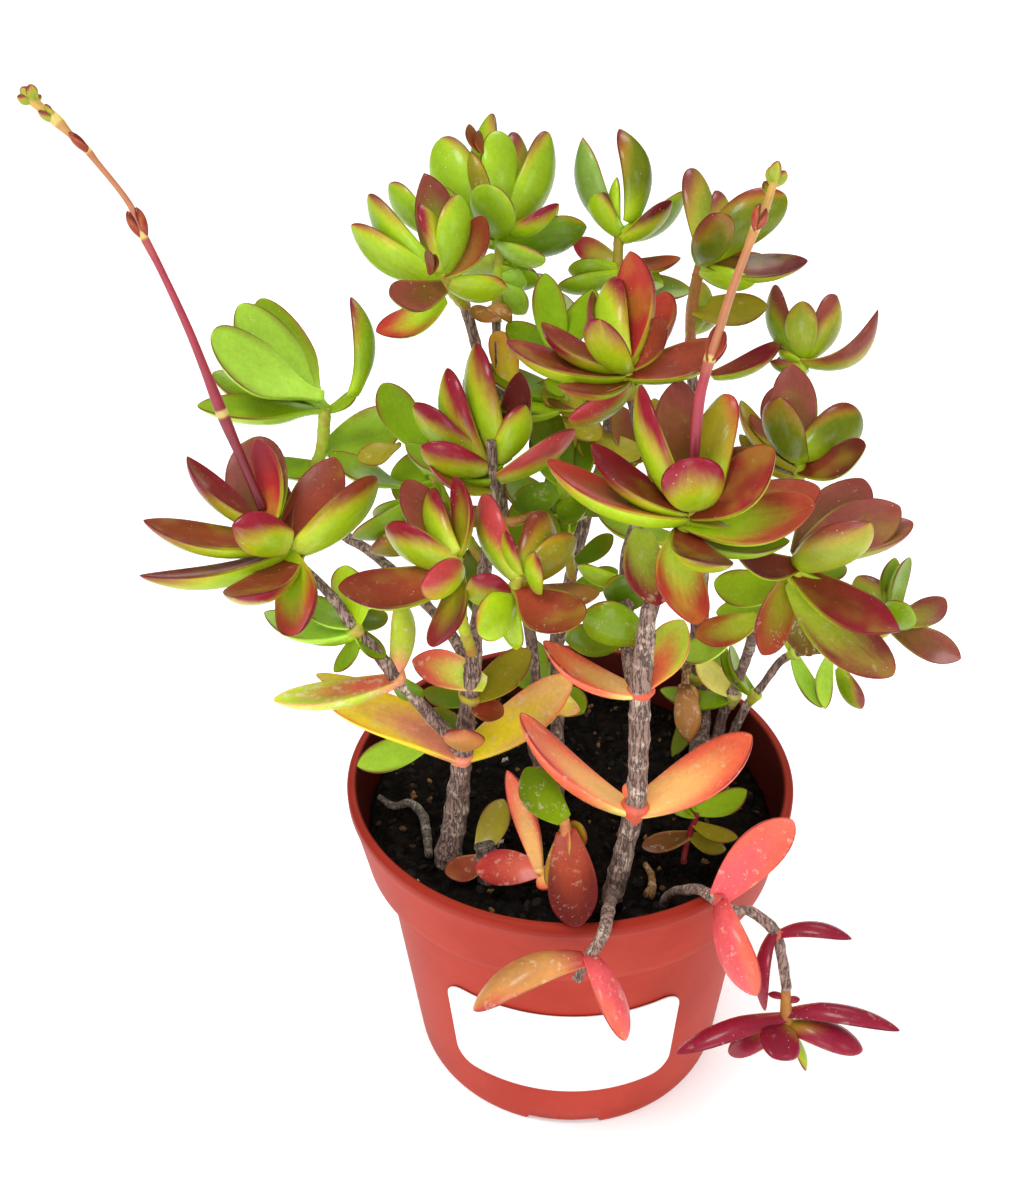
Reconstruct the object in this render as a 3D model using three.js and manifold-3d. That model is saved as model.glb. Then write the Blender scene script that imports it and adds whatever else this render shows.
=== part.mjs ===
// A potted crassula: a plastic nursery pot full of soil, woody stems, rosettes of thick leaves, two
// flower stalks and two shoots that trail over the rim. Millimetres, +Z up, origin under the pot.
import * as THREE from 'three';
import { mergeVertices } from 'three/addons/utils/BufferGeometryUtils.js';
import Module from 'manifold-3d';

const wasm = await Module();
wasm.setup();

// The pot: a tapered body with a wider collar at the top and four drain notches round its foot.
const POT_HEIGHT = 80.5;
const RIM_RADIUS = 53;
const RIM_ROUND = 0.8;
const LIP = 2.2;
const COLLAR_FOOT_RADIUS = 50;
const COLLAR_FOOT_HEIGHT = POT_HEIGHT - 18.9;
const BODY_TOP_RADIUS = 46.1;
const BASE_RADIUS = 39.9;
const WALL = 1.6;
const FLOOR = 2.4;
const POT_SIDES = 36;
const NOTCHES = 4;
const FIRST_NOTCH = -91.2;
const NOTCH_HEIGHT = 1.8;
const NOTCH_REACH = 8;
const NOTCH_HALF_ANGLE = 12.8;
const DRAIN_RADIUS = 3;
const DRAIN_FROM_AXIS = 34;

// The blank label that curves round the front of the pot.
const LABEL_FROM = -128.5;
const LABEL_TO = -54.5;
const LABEL_BOTTOM = 15.3;
const LABEL_TOP = 44.7;
const LABEL_THICK = 0.3;
const LABEL_CORNER = 5;
const LABEL_STEPS = 12;

// The soil fills the pot. Stems stand in plain holes in it, as deep as their roots.
const SOIL_LEVEL = 68;
const SOIL_RELIEF = 0.5;
const ROOT_REACH = 4.4;
const GAP = 0.3;

// The eye that the photo was taken from, in the part's own frame. Shoots are placed by sight from it.
const EYE = new THREE.Vector3(0, -219, 255);
const EYE_PITCH = THREE.MathUtils.degToRad(30.2);
const EYE_YAW = THREE.MathUtils.degToRad(-3.3);
const EYE_ROLL = THREE.MathUtils.degToRad(-1.3);
const FOCAL_PIXELS = 1150;
const PHOTO_WIDTH = 1024;
const PHOTO_HEIGHT = 1189;

// Limbs and leaves have few sides: the fine surface is made elsewhere.
const THICK_LIMB = 4;
const THICK_LIMB_SIDES = 5;
const THIN_LIMB_SIDES = 4;
const CORE_MARGIN = 0.6;
const ROSETTE_CORE_MARGIN = 3.4;
const LEAF_STATIONS = [0, 0.42, 0.83];
const SMALL_LEAF_STATIONS = [0, 0.65];
const SMALL_LEAF = 12;
const LEAF_SECTION = [[1, 0], [-1, 0], [0, 1]];
const LEAF_ROOT = 0.6;
const LEAF_WIDTH_SHARE = 0.46;
const LEAF_WIDEST = 0.62;
const LEAF_NECK = 0.12;
const LEAF_BOW = 0.07;
const LEAF_CUP = 0.1;
const LEAF_LEAN = 0.6;

// Colours.
const TERRACOTTA = 0xc95546;
const SOIL_BROWN = 0x1e1b14;
const PAPER = 0xe9e4da;
const BARK = 0x6e5a50;
const GREY = 0x6a625c;
const TAN = 0xb98a5c;
const GREEN = 0x71812f;
const LIME = 0xa9b03e;
const OLIVE = 0x8a7f38;
const YELLOW = 0xdcb33c;
const CORAL = 0xd0644c;
const RED = 0x9a4236;
const MAUVE = 0x7a4a48;
const CRIMSON = 0x8c1c34;

const forward = new THREE.Vector3(
  Math.sin(EYE_YAW) * Math.cos(EYE_PITCH),
  Math.cos(EYE_YAW) * Math.cos(EYE_PITCH),
  -Math.sin(EYE_PITCH),
);
const level = new THREE.Vector3().crossVectors(forward, new THREE.Vector3(0, 0, 1)).normalize();
const above = new THREE.Vector3().crossVectors(level, forward);
const across = level.clone().multiplyScalar(Math.cos(EYE_ROLL))
  .addScaledVector(above, Math.sin(EYE_ROLL));
const upward = above.clone().multiplyScalar(Math.cos(EYE_ROLL))
  .addScaledVector(level, -Math.sin(EYE_ROLL));

// The line of sight through a pixel of the photo, with a forward part of one.
function sight([px, py]) {
  return forward.clone()
    .addScaledVector(across, (px - PHOTO_WIDTH / 2) / FOCAL_PIXELS)
    .addScaledVector(upward, -(py - PHOTO_HEIGHT / 2) / FOCAL_PIXELS);
}

// The point on a pixel's line of sight at a depth: its y, which is negative toward the eye.
function seen([px, py, depth]) {
  const ray = sight([px, py]);
  return EYE.clone().addScaledVector(ray, (depth - EYE.y) / ray.y);
}

// The point where a pixel's line of sight meets a height.
function seenAtHeight([px, py], height) {
  const ray = sight([px, py]);
  return EYE.clone().addScaledVector(ray, (height - EYE.z) / ray.z);
}

// How many pixels one millimetre covers at a point.
function pixelsPerMm(point) {
  return FOCAL_PIXELS / point.clone().sub(EYE).dot(forward);
}

// A closed solid: any three.js geometry with its shared corners merged and its empty faces dropped.
function solid(geometry) {
  const bare = geometry.clone();
  bare.deleteAttribute('normal');
  bare.deleteAttribute('uv');
  const merged = mergeVertices(bare, 1e-4);
  const corners = merged.index.array;
  const faces = [];
  for (let i = 0; i < corners.length; i += 3) {
    const face = [corners[i], corners[i + 1], corners[i + 2]];
    if (new Set(face).size === 3) faces.push(...face);
  }
  const mesh = new wasm.Mesh({
    numProp: 3,
    vertProperties: merged.attributes.position.array,
    triVerts: new Uint32Array(faces),
  });
  return new wasm.Manifold(mesh);
}

// A closed skin over rings of points. The first ring is capped, the last one capped or drawn to a point.
function loft(rings, point = null) {
  const positions = rings.flat().flatMap((p) => [p.x, p.y, p.z]);
  const faces = [];
  const sides = rings[0].length;
  for (let r = 0; r + 1 < rings.length; r += 1) {
    for (let i = 0; i < sides; i += 1) {
      const a = r * sides + i;
      const b = r * sides + (i + 1) % sides;
      faces.push(a, b, b + sides, a, b + sides, a + sides);
    }
  }
  const last = (rings.length - 1) * sides;
  for (let i = 1; i + 1 < sides; i += 1) faces.push(0, i + 1, i);
  if (point) {
    positions.push(point.x, point.y, point.z);
    for (let i = 0; i < sides; i += 1) faces.push(last + i, last + (i + 1) % sides, last + sides);
  } else {
    for (let i = 1; i + 1 < sides; i += 1) faces.push(last, last + i, last + i + 1);
  }
  const geometry = new THREE.BufferGeometry();
  geometry.setAttribute('position', new THREE.Float32BufferAttribute(positions, 3));
  geometry.setIndex(faces);
  return geometry;
}

// A round limb along points, each with its own diameter. Grow gives the room to leave around it.
function limb(points, diameters, grow = 0) {
  const curve = new THREE.CatmullRomCurve3(points, false, 'centripetal');
  const steps = points.length - 1;
  const sides = Math.max(...diameters) >= THICK_LIMB ? THICK_LIMB_SIDES : THIN_LIMB_SIDES;
  const frames = curve.computeFrenetFrames(steps);
  const rings = points.map((point, s) => {
    const centre = curve.getPoint(s / steps);
    if (s === 0) centre.addScaledVector(frames.tangents[0], -grow);
    if (s === steps) centre.addScaledVector(frames.tangents[s], grow);
    return Array.from({ length: sides }, (_, i) => {
      const angle = i / sides * 2 * Math.PI;
      const out = frames.normals[s].clone().multiplyScalar(Math.cos(angle))
        .addScaledVector(frames.binormals[s], Math.sin(angle));
      return centre.clone().addScaledVector(out, diameters[s] / 2 + grow);
    });
  });
  return solid(loft(rings));
}

const join = (solids) => solids.reduce((whole, next) => whole.add(next));

// The largest body of a solid: loose scraps of a cut are dropped.
function mainBody(whole) {
  const bodies = whole.decompose();
  return bodies.reduce((best, next) => (next.volume() > best.volume() ? next : best));
}

// A leaf's outline: half widths as shares of the widest, narrow at the neck and round at the tip.
function leafShare(along) {
  if (along < LEAF_WIDEST) {
    return LEAF_NECK + (1 - LEAF_NECK) * Math.sin(Math.PI / 2 * along / LEAF_WIDEST) ** 1.5;
  }
  return Math.sqrt(Math.max(0, 1 - ((along - LEAF_WIDEST) / (1 - LEAF_WIDEST)) ** 2.2));
}

// A point some way down from the tip of a shoot's core, with the way the core grows there.
function pointDown(shoot, distance) {
  const curve = new THREE.CatmullRomCurve3(shoot.core.map(seen), false, 'centripetal');
  const share = THREE.MathUtils.clamp(1 - distance / curve.getLength(), 0, 1);
  return { point: curve.getPointAt(share), grows: curve.getTangentAt(share) };
}

// The tip of a leaf that shows: on its pixel's line of sight, at its real length from its base, and
// by its lean nearer the eye or farther away.
function tipInSight(leaf, base, length) {
  const ray = sight(leaf.tip).normalize();
  const reach = base.clone().sub(EYE);
  const nearest = reach.dot(ray);
  const miss = reach.lengthSq() - nearest * nearest;
  const slack = Math.sqrt(Math.max(0, length * length - miss));
  return EYE.clone().addScaledVector(ray, nearest + (leaf.lean ?? LEAF_LEAN) * slack);
}

// The tip of a leaf that is hidden: turned round the core from the side away from the eye, and lifted.
function tipOutOfSight(leaf, base, length, grows) {
  const away = new THREE.Vector3(0, 1, 0);
  away.addScaledVector(grows, -away.dot(grows)).normalize();
  const aside = new THREE.Vector3().crossVectors(grows, away);
  const turn = THREE.MathUtils.degToRad(leaf.turn);
  const lift = THREE.MathUtils.degToRad(leaf.lift);
  return base.clone()
    .addScaledVector(grows, length * Math.sin(lift))
    .addScaledVector(away, length * Math.cos(lift) * Math.cos(turn))
    .addScaledVector(aside, length * Math.cos(lift) * Math.sin(turn));
}

// The way a leaf's face looks. Its roll gives the width that the photo shows, and of the four rolls
// that do, the leaf has the one whose face looks most to the tip of its shoot.
function faceInSight(leaf, middle, along, width, grows) {
  const facing = EYE.clone().sub(middle);
  facing.addScaledVector(along, -facing.dot(along)).normalize();
  const edge = new THREE.Vector3().crossVectors(along, facing);
  const share = Math.min(1, leaf.seen / pixelsPerMm(middle) / width);
  const rolls = [[1, 1], [1, -1], [-1, 1], [-1, -1]].map(([front, side]) => (
    facing.clone().multiplyScalar(front * share)
      .addScaledVector(edge, side * Math.sqrt(1 - share ** 2))
  ));
  const allowed = leaf.back === undefined
    ? rolls
    : rolls.filter((roll) => (roll.dot(facing) < 0) === leaf.back);
  return allowed.reduce((best, roll) => (roll.dot(grows) > best.dot(grows) ? roll : best));
}

// The solid of a leaf: a thick blade, flat above and full below, bowed along and cupped across.
function leafSolid(leaf, shoot, { point, grows }) {
  const base = leaf.from ? seen(leaf.from) : point;
  const asked = leaf.long ?? shoot.long;
  const width = leaf.wide ?? shoot.wide ?? asked * LEAF_WIDTH_SHARE;
  const tip = leaf.tip ? tipInSight(leaf, base, asked) : tipOutOfSight(leaf, base, asked, grows);
  const along = tip.clone().sub(base).normalize();
  const length = tip.distanceTo(base);
  const face = leaf.tip
    ? faceInSight(leaf, base.clone().lerp(tip, 0.6), along, width, grows)
    : grows.clone().addScaledVector(along, -grows.dot(along)).normalize();
  const edge = new THREE.Vector3().crossVectors(face, along);
  const thick = THREE.MathUtils.clamp(length * 0.115, 1.1, 3);
  const bow = (leaf.bow ?? LEAF_BOW) * length;
  const stations = length < SMALL_LEAF ? SMALL_LEAF_STATIONS : LEAF_STATIONS;
  const rings = stations.map((t) => {
    const half = width / 2 * leafShare(t);
    const depth = thick * (0.6 + 0.4 * Math.sin(Math.PI * t ** 0.8));
    const middle = base.clone()
      .addScaledVector(along, t * length - (t === 0 ? LEAF_ROOT : 0))
      .addScaledVector(face, -bow * 4 * t * (1 - t));
    return LEAF_SECTION.map(([side, keel]) => middle.clone()
      .addScaledVector(edge, side * half)
      .addScaledVector(face, LEAF_CUP * half * side * side - keel * depth));
  });
  return solid(loft(rings, tip.addScaledVector(face, LEAF_CUP * width * 0.1)));
}

// Leafy shoots. A core is a list of pixel across, pixel down and depth. A leaf starts some way down
// the core and has the pixel of its tip, the pixels it is wide and how it leans, or a turn and lift.
const SHOOTS = [
  {
    name: 'rosette_left', color: RED, long: 24, girth: 2.6,
    core: [[298, 562, -25], [284, 538, -25], [266, 514, -25]],
    leaves: [
      { tip: [187, 456], seen: 26, down: 3 },
      { tip: [143, 520], seen: 30, down: 6, lean: 0.3 },
      { tip: [139, 574], seen: 24, down: 8, lean: -0.3 },
      { tip: [252, 515], seen: 60, down: 9, lean: -1, long: 20, back: true },
      { tip: [250, 438], seen: 52, down: 1, lean: 1, long: 21 },
      { tip: [260, 438], seen: 24, down: 1, lean: 0.3, long: 18 },
      { tip: [278, 440], seen: 30, down: 2, lean: 1, long: 21 },
      { tip: [335, 457], seen: 46, down: 6, lean: 0.6 },
      { tip: [378, 478], seen: 36, down: 9, lean: 0.4 },
      { tip: [234, 597], seen: 36, down: 10, lean: -1 },
      { tip: [300, 634], seen: 46, down: 11, lean: -0.7 },
      { turn: 20, lift: 20, down: 5 },
    ],
  },
  {
    name: 'rosette_upper_left', color: LIME, long: 28, wide: 14, girth: 2.8,
    core: [[312, 474, 17.5], [322, 455, 19], [324, 425, 20], [326, 396, 20]],
    leaves: [
      { tip: [211, 345], seen: 62, down: 1, lean: 0.1 },
      { tip: [240, 304], seen: 56, down: 0, lean: 0.8 },
      { tip: [253, 297], seen: 50, down: 0, lean: 1, long: 31 },
      { tip: [210, 373], seen: 45, down: 2, lean: 0.7 },
      { tip: [197, 407], seen: 36, down: 2, lean: 0 },
      { tip: [350, 298], seen: 22, down: 0, lean: 0.5, bow: 0.2 },
      { tip: [270, 470], seen: 26, down: 13, lean: -0.4, long: 15 },
      { tip: [420, 485], seen: 32, down: 14, lean: 0.2, long: 24 },
      { tip: [404, 420], seen: 48, down: 10, lean: 0.4, long: 24 },
      { turn: 10, lift: 25, down: 2 },
    ],
  },
  {
    name: 'rosette_back_left', color: GREEN, long: 22, girth: 2.4,
    core: [[484, 562, -8], [462, 530, 0], [440, 490, 6], [432, 470, 8]],
    leaves: [
      { tip: [383, 383], seen: 38, down: 0, lean: 0.7 },
      { tip: [414, 402], seen: 30, down: 0, lean: 1 },
      { tip: [391, 474], seen: 36, down: 3, lean: 0.4 },
      { tip: [373, 516], seen: 26, down: 6, lean: 0.4 },
      { tip: [370, 552], seen: 30, down: 9, lean: 0.2 },
      { turn: 20, lift: 20, down: 2 },
    ],
  },
  {
    name: 'rosette_top_left', color: GREEN, long: 22, girth: 2.4,
    core: [[465, 306, 21.5], [453, 292, 15.5], [440, 272, 10]],
    leaves: [
      { tip: [351, 224], seen: 26, down: 2, lean: 0.3 },
      { tip: [368, 195], seen: 30, down: 1, lean: 0.8 },
      { tip: [420, 204], seen: 22, down: 0, lean: 0.3, long: 16 },
      { tip: [424, 173], seen: 40, down: 0, lean: 0.8 },
      { tip: [460, 195], seen: 34, down: 1, lean: 0.3, long: 18 },
      { tip: [485, 217], seen: 32, down: 1, lean: 0, long: 18 },
      { tip: [390, 292], seen: 34, down: 3, lean: -0.9, long: 19 },
      { tip: [376, 332], seen: 27, down: 5, lean: -0.3 },
      { tip: [507, 288], seen: 28, down: 4, lean: 0.2, long: 17 },
      { tip: [429, 249], seen: 7, down: -1, lean: 0, long: 6, wide: 2.5 },
      { tip: [423, 258], seen: 7, down: 0, lean: 0, long: 5, wide: 2.5 },
      { turn: 10, lift: 20, down: 2 },
    ],
  },
  {
    name: 'rosette_top', color: GREEN, long: 22, girth: 2.6,
    core: [[496, 322, 25], [498, 285, 27], [500, 250, 29.5], [500, 226, 31]],
    leaves: [
      { tip: [392, 184], seen: 34, down: 2, lean: 0.6, long: 26 },
      { tip: [441, 140], seen: 42, down: 1, lean: 0.8, long: 23 },
      { tip: [469, 124], seen: 9, down: 0, lean: 0.6, long: 23, wide: 4 },
      { tip: [491, 114], seen: 32, down: 0, lean: 1, long: 26 },
      { tip: [495, 132], seen: 36, down: 0, lean: 0.5 },
      { tip: [517, 134], seen: 34, down: 0, lean: 0.9, long: 24 },
      { tip: [549, 133], seen: 40, down: 1, lean: 0.9, long: 25 },
      { tip: [486, 180], seen: 40, down: 2, lean: -1, long: 19, back: true },
      { tip: [543, 203], seen: 22, down: 1, lean: -0.6, long: 13 },
      { tip: [560, 204], seen: 27, down: 1, lean: 0.4, long: 16 },
      { tip: [587, 227], seen: 36, down: 4, lean: 0.3 },
      { tip: [545, 257], seen: 26, down: 5, lean: -0.7, long: 17 },
      { tip: [540, 283], seen: 24, down: 9, lean: 0.2, long: 15 },
      { tip: [522, 310], seen: 18, down: 13, lean: 0.2, long: 10 },
      { turn: 10, lift: 25, down: 3 },
    ],
  },
  {
    name: 'rosette_top_middle', color: GREEN, long: 21, girth: 2.2,
    core: [[619, 292, 34], [618, 262, 35.5], [619, 230, 37]],
    leaves: [
      { tip: [583, 137], seen: 30, down: 0, lean: 0.6 },
      { tip: [598, 166], seen: 12, down: 0, lean: 1, long: 17 },
      { tip: [590, 178], seen: 24, down: 1, lean: -0.3, long: 14 },
      { tip: [617, 177], seen: 12, down: 0, lean: 0, long: 11, wide: 3.5 },
      { tip: [618, 129], seen: 34, down: 0, lean: 0.8, long: 23 },
      { tip: [674, 199], seen: 27, down: 1, lean: 0, long: 15 },
      { tip: [685, 195], seen: 24, down: 1, lean: 1, long: 20 },
      { tip: [573, 240], seen: 24, down: 7, lean: 0.4, long: 12 },
      { tip: [568, 270], seen: 22, down: 8, lean: 0, long: 12 },
      { tip: [557, 287], seen: 20, down: 9, lean: -0.3, long: 14 },
      { tip: [681, 258], seen: 16, down: 7, lean: 0, long: 15 },
      { tip: [664, 286], seen: 24, down: 8, lean: -0.3, long: 12 },
      { tip: [692, 291], seen: 24, down: 9, lean: 0.3, long: 18 },
      { turn: 0, lift: 35, down: 2 },
    ],
  },
  {
    name: 'rosette_top_right', color: MAUVE, long: 22, girth: 2.4,
    core: [[690, 352, 33], [693, 300, 28], [703, 254, 23.5]],
    leaves: [
      { tip: [694, 169], seen: 29, down: 0, lean: 0.7 },
      { tip: [722, 196], seen: 26, down: 0, lean: 0.9, long: 20 },
      { tip: [722, 213], seen: 40, down: 2, lean: -1, long: 18, back: true },
      { tip: [750, 220], seen: 24, down: 0, lean: 0.8, long: 18 },
      { tip: [788, 200], seen: 40, down: 1, lean: 0.3 },
      { tip: [808, 261], seen: 26, down: 2, lean: 0.1 },
      { tip: [765, 256], seen: 20, down: 1, lean: 0.8, long: 16 },
      { tip: [755, 283], seen: 22, down: 4, lean: -0.3, long: 14 },
      { tip: [768, 306], seen: 32, down: 14, lean: 0.2, long: 19 },
      { tip: [701, 281], seen: 26, down: 21, lean: -0.2, long: 15 },
      { tip: [722, 300], seen: 22, down: 20, lean: 0.6, long: 15 },
      { tip: [781, 341], seen: 26, down: 20, lean: 0.3, long: 21 },
      { turn: 10, lift: 20, down: 3 },
      { turn: 80, lift: 25, down: 2 },
    ],
  },
  {
    name: 'rosette_red_centre', color: RED, long: 24, girth: 2.8,
    core: [[632, 398, -14], [626, 380, -14], [625, 363, -14]],
    leaves: [
      { tip: [630, 251], seen: 40, down: 0, lean: 0.5 },
      { tip: [610, 281], seen: 36, down: 0, lean: 0.8 },
      { tip: [600, 319], seen: 36, down: 1, lean: -0.8, long: 20 },
      { tip: [542, 322], seen: 24, down: 1, lean: 0.4 },
      { tip: [506, 341], seen: 28, down: 2, lean: 0.2, long: 25 },
      { tip: [560, 387], seen: 22, down: 3, lean: -0.7, long: 19 },
      { tip: [568, 418], seen: 25, down: 5, lean: -0.5, long: 20 },
      { tip: [665, 320], seen: 32, down: 1, lean: -0.3, long: 15 },
      { tip: [656, 290], seen: 32, down: 0, lean: 1, long: 24 },
      { tip: [727, 343], seen: 36, down: 2, lean: 0.2 },
      { turn: 20, lift: 30, down: 3 },
      { turn: -50, lift: 15, down: 5 },
    ],
  },
  {
    name: 'rosette_green_back', color: GREEN, long: 20, girth: 2.2,
    core: [[578, 470, 18], [568, 420, 16], [558, 350, 15]],
    leaves: [
      { tip: [545, 273], seen: 34, down: 1, lean: 0.3 },
      { tip: [593, 289], seen: 30, down: 0, lean: 0.7 },
      { tip: [508, 325], seen: 27, down: 2, lean: 0.4 },
      { tip: [516, 348], seen: 17, down: 4, lean: 0 },
      { tip: [550, 392], seen: 26, down: 7, lean: -0.6, long: 12 },
      { tip: [600, 440], seen: 30, down: 12, lean: -0.5, long: 15 },
      { tip: [526, 396], seen: 30, down: 10, lean: 0.3, long: 17 },
      { turn: 0, lift: 30, down: 3 },
      { turn: 60, lift: 15, down: 10 },
    ],
  },
  {
    name: 'rosette_green_low', color: GREEN, long: 19, girth: 2.2,
    core: [[572, 578, 10.8], [566, 530, 6], [560, 480, 4]],
    leaves: [
      { tip: [512, 506], seen: 32, down: 2, lean: -0.2, long: 15 },
      { tip: [577, 520], seen: 34, down: 4, lean: -0.8, long: 14 },
      { tip: [534, 432], seen: 26, down: 1, lean: 0.6, long: 15 },
      { tip: [620, 500], seen: 28, down: 5, lean: 0.5, long: 15 },
      { tip: [540, 556], seen: 24, down: 10, lean: -0.4, long: 12 },
      { turn: 40, lift: 5, down: 8 },
    ],
  },
  {
    name: 'rosette_right_upper', color: MAUVE, long: 19, girth: 2.2,
    core: [[795, 392, 18], [800, 375, 21], [804, 358, 23]],
    leaves: [
      { tip: [774, 285], seen: 24, down: 0, lean: 0.8 },
      { tip: [802, 301], seen: 40, down: 0, lean: -0.2, long: 15 },
      { tip: [836, 295], seen: 30, down: 0, lean: 0.8 },
      { tip: [878, 309], seen: 22, down: 1, lean: 0.1, bow: 0.16 },
      { tip: [770, 362], seen: 13, down: 2, lean: 0, long: 8, wide: 4 },
      { tip: [778, 347], seen: 15, down: 1, lean: 0.4, long: 8, wide: 4 },
      { turn: 10, lift: 30, down: 1 },
      { turn: -60, lift: 20, down: 3 },
    ],
  },
  {
    name: 'rosette_right', color: MAUVE, long: 21, girth: 2.6,
    core: [[798, 488, 1], [799, 468, 0], [801, 450, 0]],
    leaves: [
      { tip: [792, 364], seen: 44, down: 0, lean: 0.7 },
      { tip: [780, 397], seen: 38, down: 2, lean: -0.9, long: 20, back: true },
      { tip: [860, 412], seen: 46, down: 1, lean: 0.7 },
      { tip: [866, 446], seen: 34, down: 4, lean: -0.4 },
      { tip: [758, 440], seen: 22, down: 2, lean: 0.4, long: 12 },
      { tip: [750, 414], seen: 15, down: 1, lean: 0.6, long: 15 },
      { tip: [741, 400], seen: 20, down: 4, lean: 0.8, long: 20 },
      { tip: [740, 434], seen: 18, down: 6, lean: 0.8, long: 17 },
      { turn: 10, lift: 25, down: 2 },
      { turn: -40, lift: 10, down: 5 },
    ],
  },
  {
    name: 'rosette_right_centre', color: RED, long: 25, girth: 3,
    core: [[661, 590, -32], [671, 560, -33], [684, 528, -34], [692, 502, -35]],
    leaves: [
      { tip: [591, 444], seen: 30, down: 2, lean: 0.1 },
      { tip: [547, 460], seen: 32, down: 3, lean: 0.2, long: 28 },
      { tip: [699, 457], seen: 72, down: 4, lean: -1, long: 20, wide: 13, back: true },
      { tip: [640, 385], seen: 27, down: 1, lean: 0.3 },
      { tip: [682, 380], seen: 52, down: 0, lean: 0.8, long: 27, wide: 12 },
      { tip: [722, 394], seen: 36, down: 0, lean: 0.6 },
      { tip: [775, 450], seen: 50, down: 2, lean: -0.4, long: 22, wide: 12 },
      { tip: [749, 447], seen: 48, down: 1, lean: 0.7, long: 22 },
      { tip: [815, 505], seen: 50, down: 4, lean: -0.2, wide: 12 },
      { tip: [820, 488], seen: 48, down: 3, lean: 0.5, long: 27, wide: 12 },
      { tip: [724, 565], seen: 34, down: 6, lean: -1, long: 20 },
      { tip: [693, 624], seen: 50, down: 7, lean: -0.5, long: 23, wide: 12 },
      { tip: [790, 541], seen: 28, down: 7, lean: 0.2, long: 21 },
      { tip: [655, 605], seen: 44, down: 9, lean: -0.5, long: 17 },
      { turn: 10, lift: 25, down: 4 },
    ],
  },
  {
    name: 'rosette_front_right', color: MAUVE, long: 24, girth: 2.8,
    core: [[788, 590, -25], [795, 575, -26], [802, 556, -27]],
    leaves: [
      { tip: [738, 557], seen: 30, down: 2, lean: -0.6, long: 17 },
      { tip: [901, 631], seen: 44, down: 4, lean: -0.3 },
      { tip: [893, 676], seen: 54, down: 6, lean: -0.1, long: 27, wide: 12 },
      { tip: [762, 655], seen: 34, down: 6, lean: -0.7, long: 18 },
      { tip: [901, 512], seen: 56, down: 1, lean: 0.5, wide: 12 },
      { tip: [912, 524], seen: 52, down: 2, lean: 0.8, long: 27, wide: 12 },
      { tip: [871, 522], seen: 44, down: 2, lean: -0.9, long: 21 },
      { tip: [876, 488], seen: 40, down: 0, lean: 0.9 },
      { tip: [712, 578], seen: 38, down: 5, lean: 0.3 },
      { tip: [715, 612], seen: 22, down: 6, lean: 0.6, long: 21 },
      { tip: [704, 627], seen: 30, down: 7, lean: -0.1, long: 22 },
      { tip: [812, 656], seen: 30, down: 7, lean: 0.5, long: 18 },
      { tip: [805, 630], seen: 24, down: 6, lean: 0.8, long: 16 },
      { tip: [846, 566], seen: 24, down: 3, lean: 0.8, long: 15 },
      { turn: 10, lift: 25, down: 3 },
    ],
  },
  {
    name: 'rosette_far_right', color: GREEN, long: 16, girth: 1.8,
    core: [[872, 640, 8], [886, 632, 7], [899, 622, 6]],
    leaves: [
      { tip: [910, 557], seen: 17, down: 1, lean: 0.4 },
      { tip: [945, 598], seen: 28, down: 0, lean: 0.8 },
      { tip: [908, 604], seen: 36, down: 1, lean: -1, long: 13, wide: 8, back: true },
      { tip: [961, 659], seen: 32, down: 2, lean: 0 },
      { tip: [857, 576], seen: 34, down: 3, lean: 0.4, long: 17 },
      { turn: 20, lift: 25, down: 1 },
    ],
  },
  {
    name: 'rosette_centre', color: RED, long: 22, girth: 2.6,
    core: [[493, 514, -9], [493, 475, -8], [491, 441, -8]],
    leaves: [
      { tip: [475, 343], seen: 34, down: 4, lean: 0.5, long: 24 },
      { tip: [447, 368], seen: 26, down: 4, lean: 0.4 },
      { tip: [413, 405], seen: 24, down: 5, lean: 0.1 },
      { tip: [421, 446], seen: 36, down: 6, lean: -0.3 },
      { tip: [428, 462], seen: 22, down: 8, lean: -0.7, long: 18 },
      { tip: [526, 405], seen: 32, down: 5, lean: -0.1, long: 15 },
      { tip: [517, 374], seen: 22, down: 4, lean: 0.8, long: 20 },
      { tip: [576, 430], seen: 20, down: 7, lean: 0.2 },
      { turn: 10, lift: 20, down: 6 },
      { turn: 60, lift: 10, down: 8 },
    ],
  },
  {
    name: 'rosette_front_left', color: RED, long: 23, girth: 2.4,
    core: [[472, 652, -17.5], [463, 625, -23], [459, 590, -27], [457, 556, -29]],
    leaves: [
      { tip: [407, 479], seen: 42, down: 1, lean: 0.6 },
      { tip: [430, 490], seen: 28, down: 0, lean: 0.8, long: 19 },
      { tip: [385, 528], seen: 36, down: 2, lean: 0.3 },
      { tip: [338, 588], seen: 44, down: 4, lean: 0, long: 24, wide: 11 },
      { tip: [421, 585], seen: 34, down: 3, lean: -1, long: 17 },
      { tip: [433, 647], seen: 30, down: 5, lean: -0.6, long: 19 },
      { tip: [455, 476], seen: 22, down: 0, lean: 0.2, long: 18 },
      { turn: 30, lift: 15, down: 5, long: 18 },
    ],
  },
  {
    name: 'rosette_front_middle', color: RED, long: 22, girth: 2.6,
    core: [[487, 626, -15.5], [498, 616, -23.5], [508, 602, -28], [520, 574, -30]],
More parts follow.
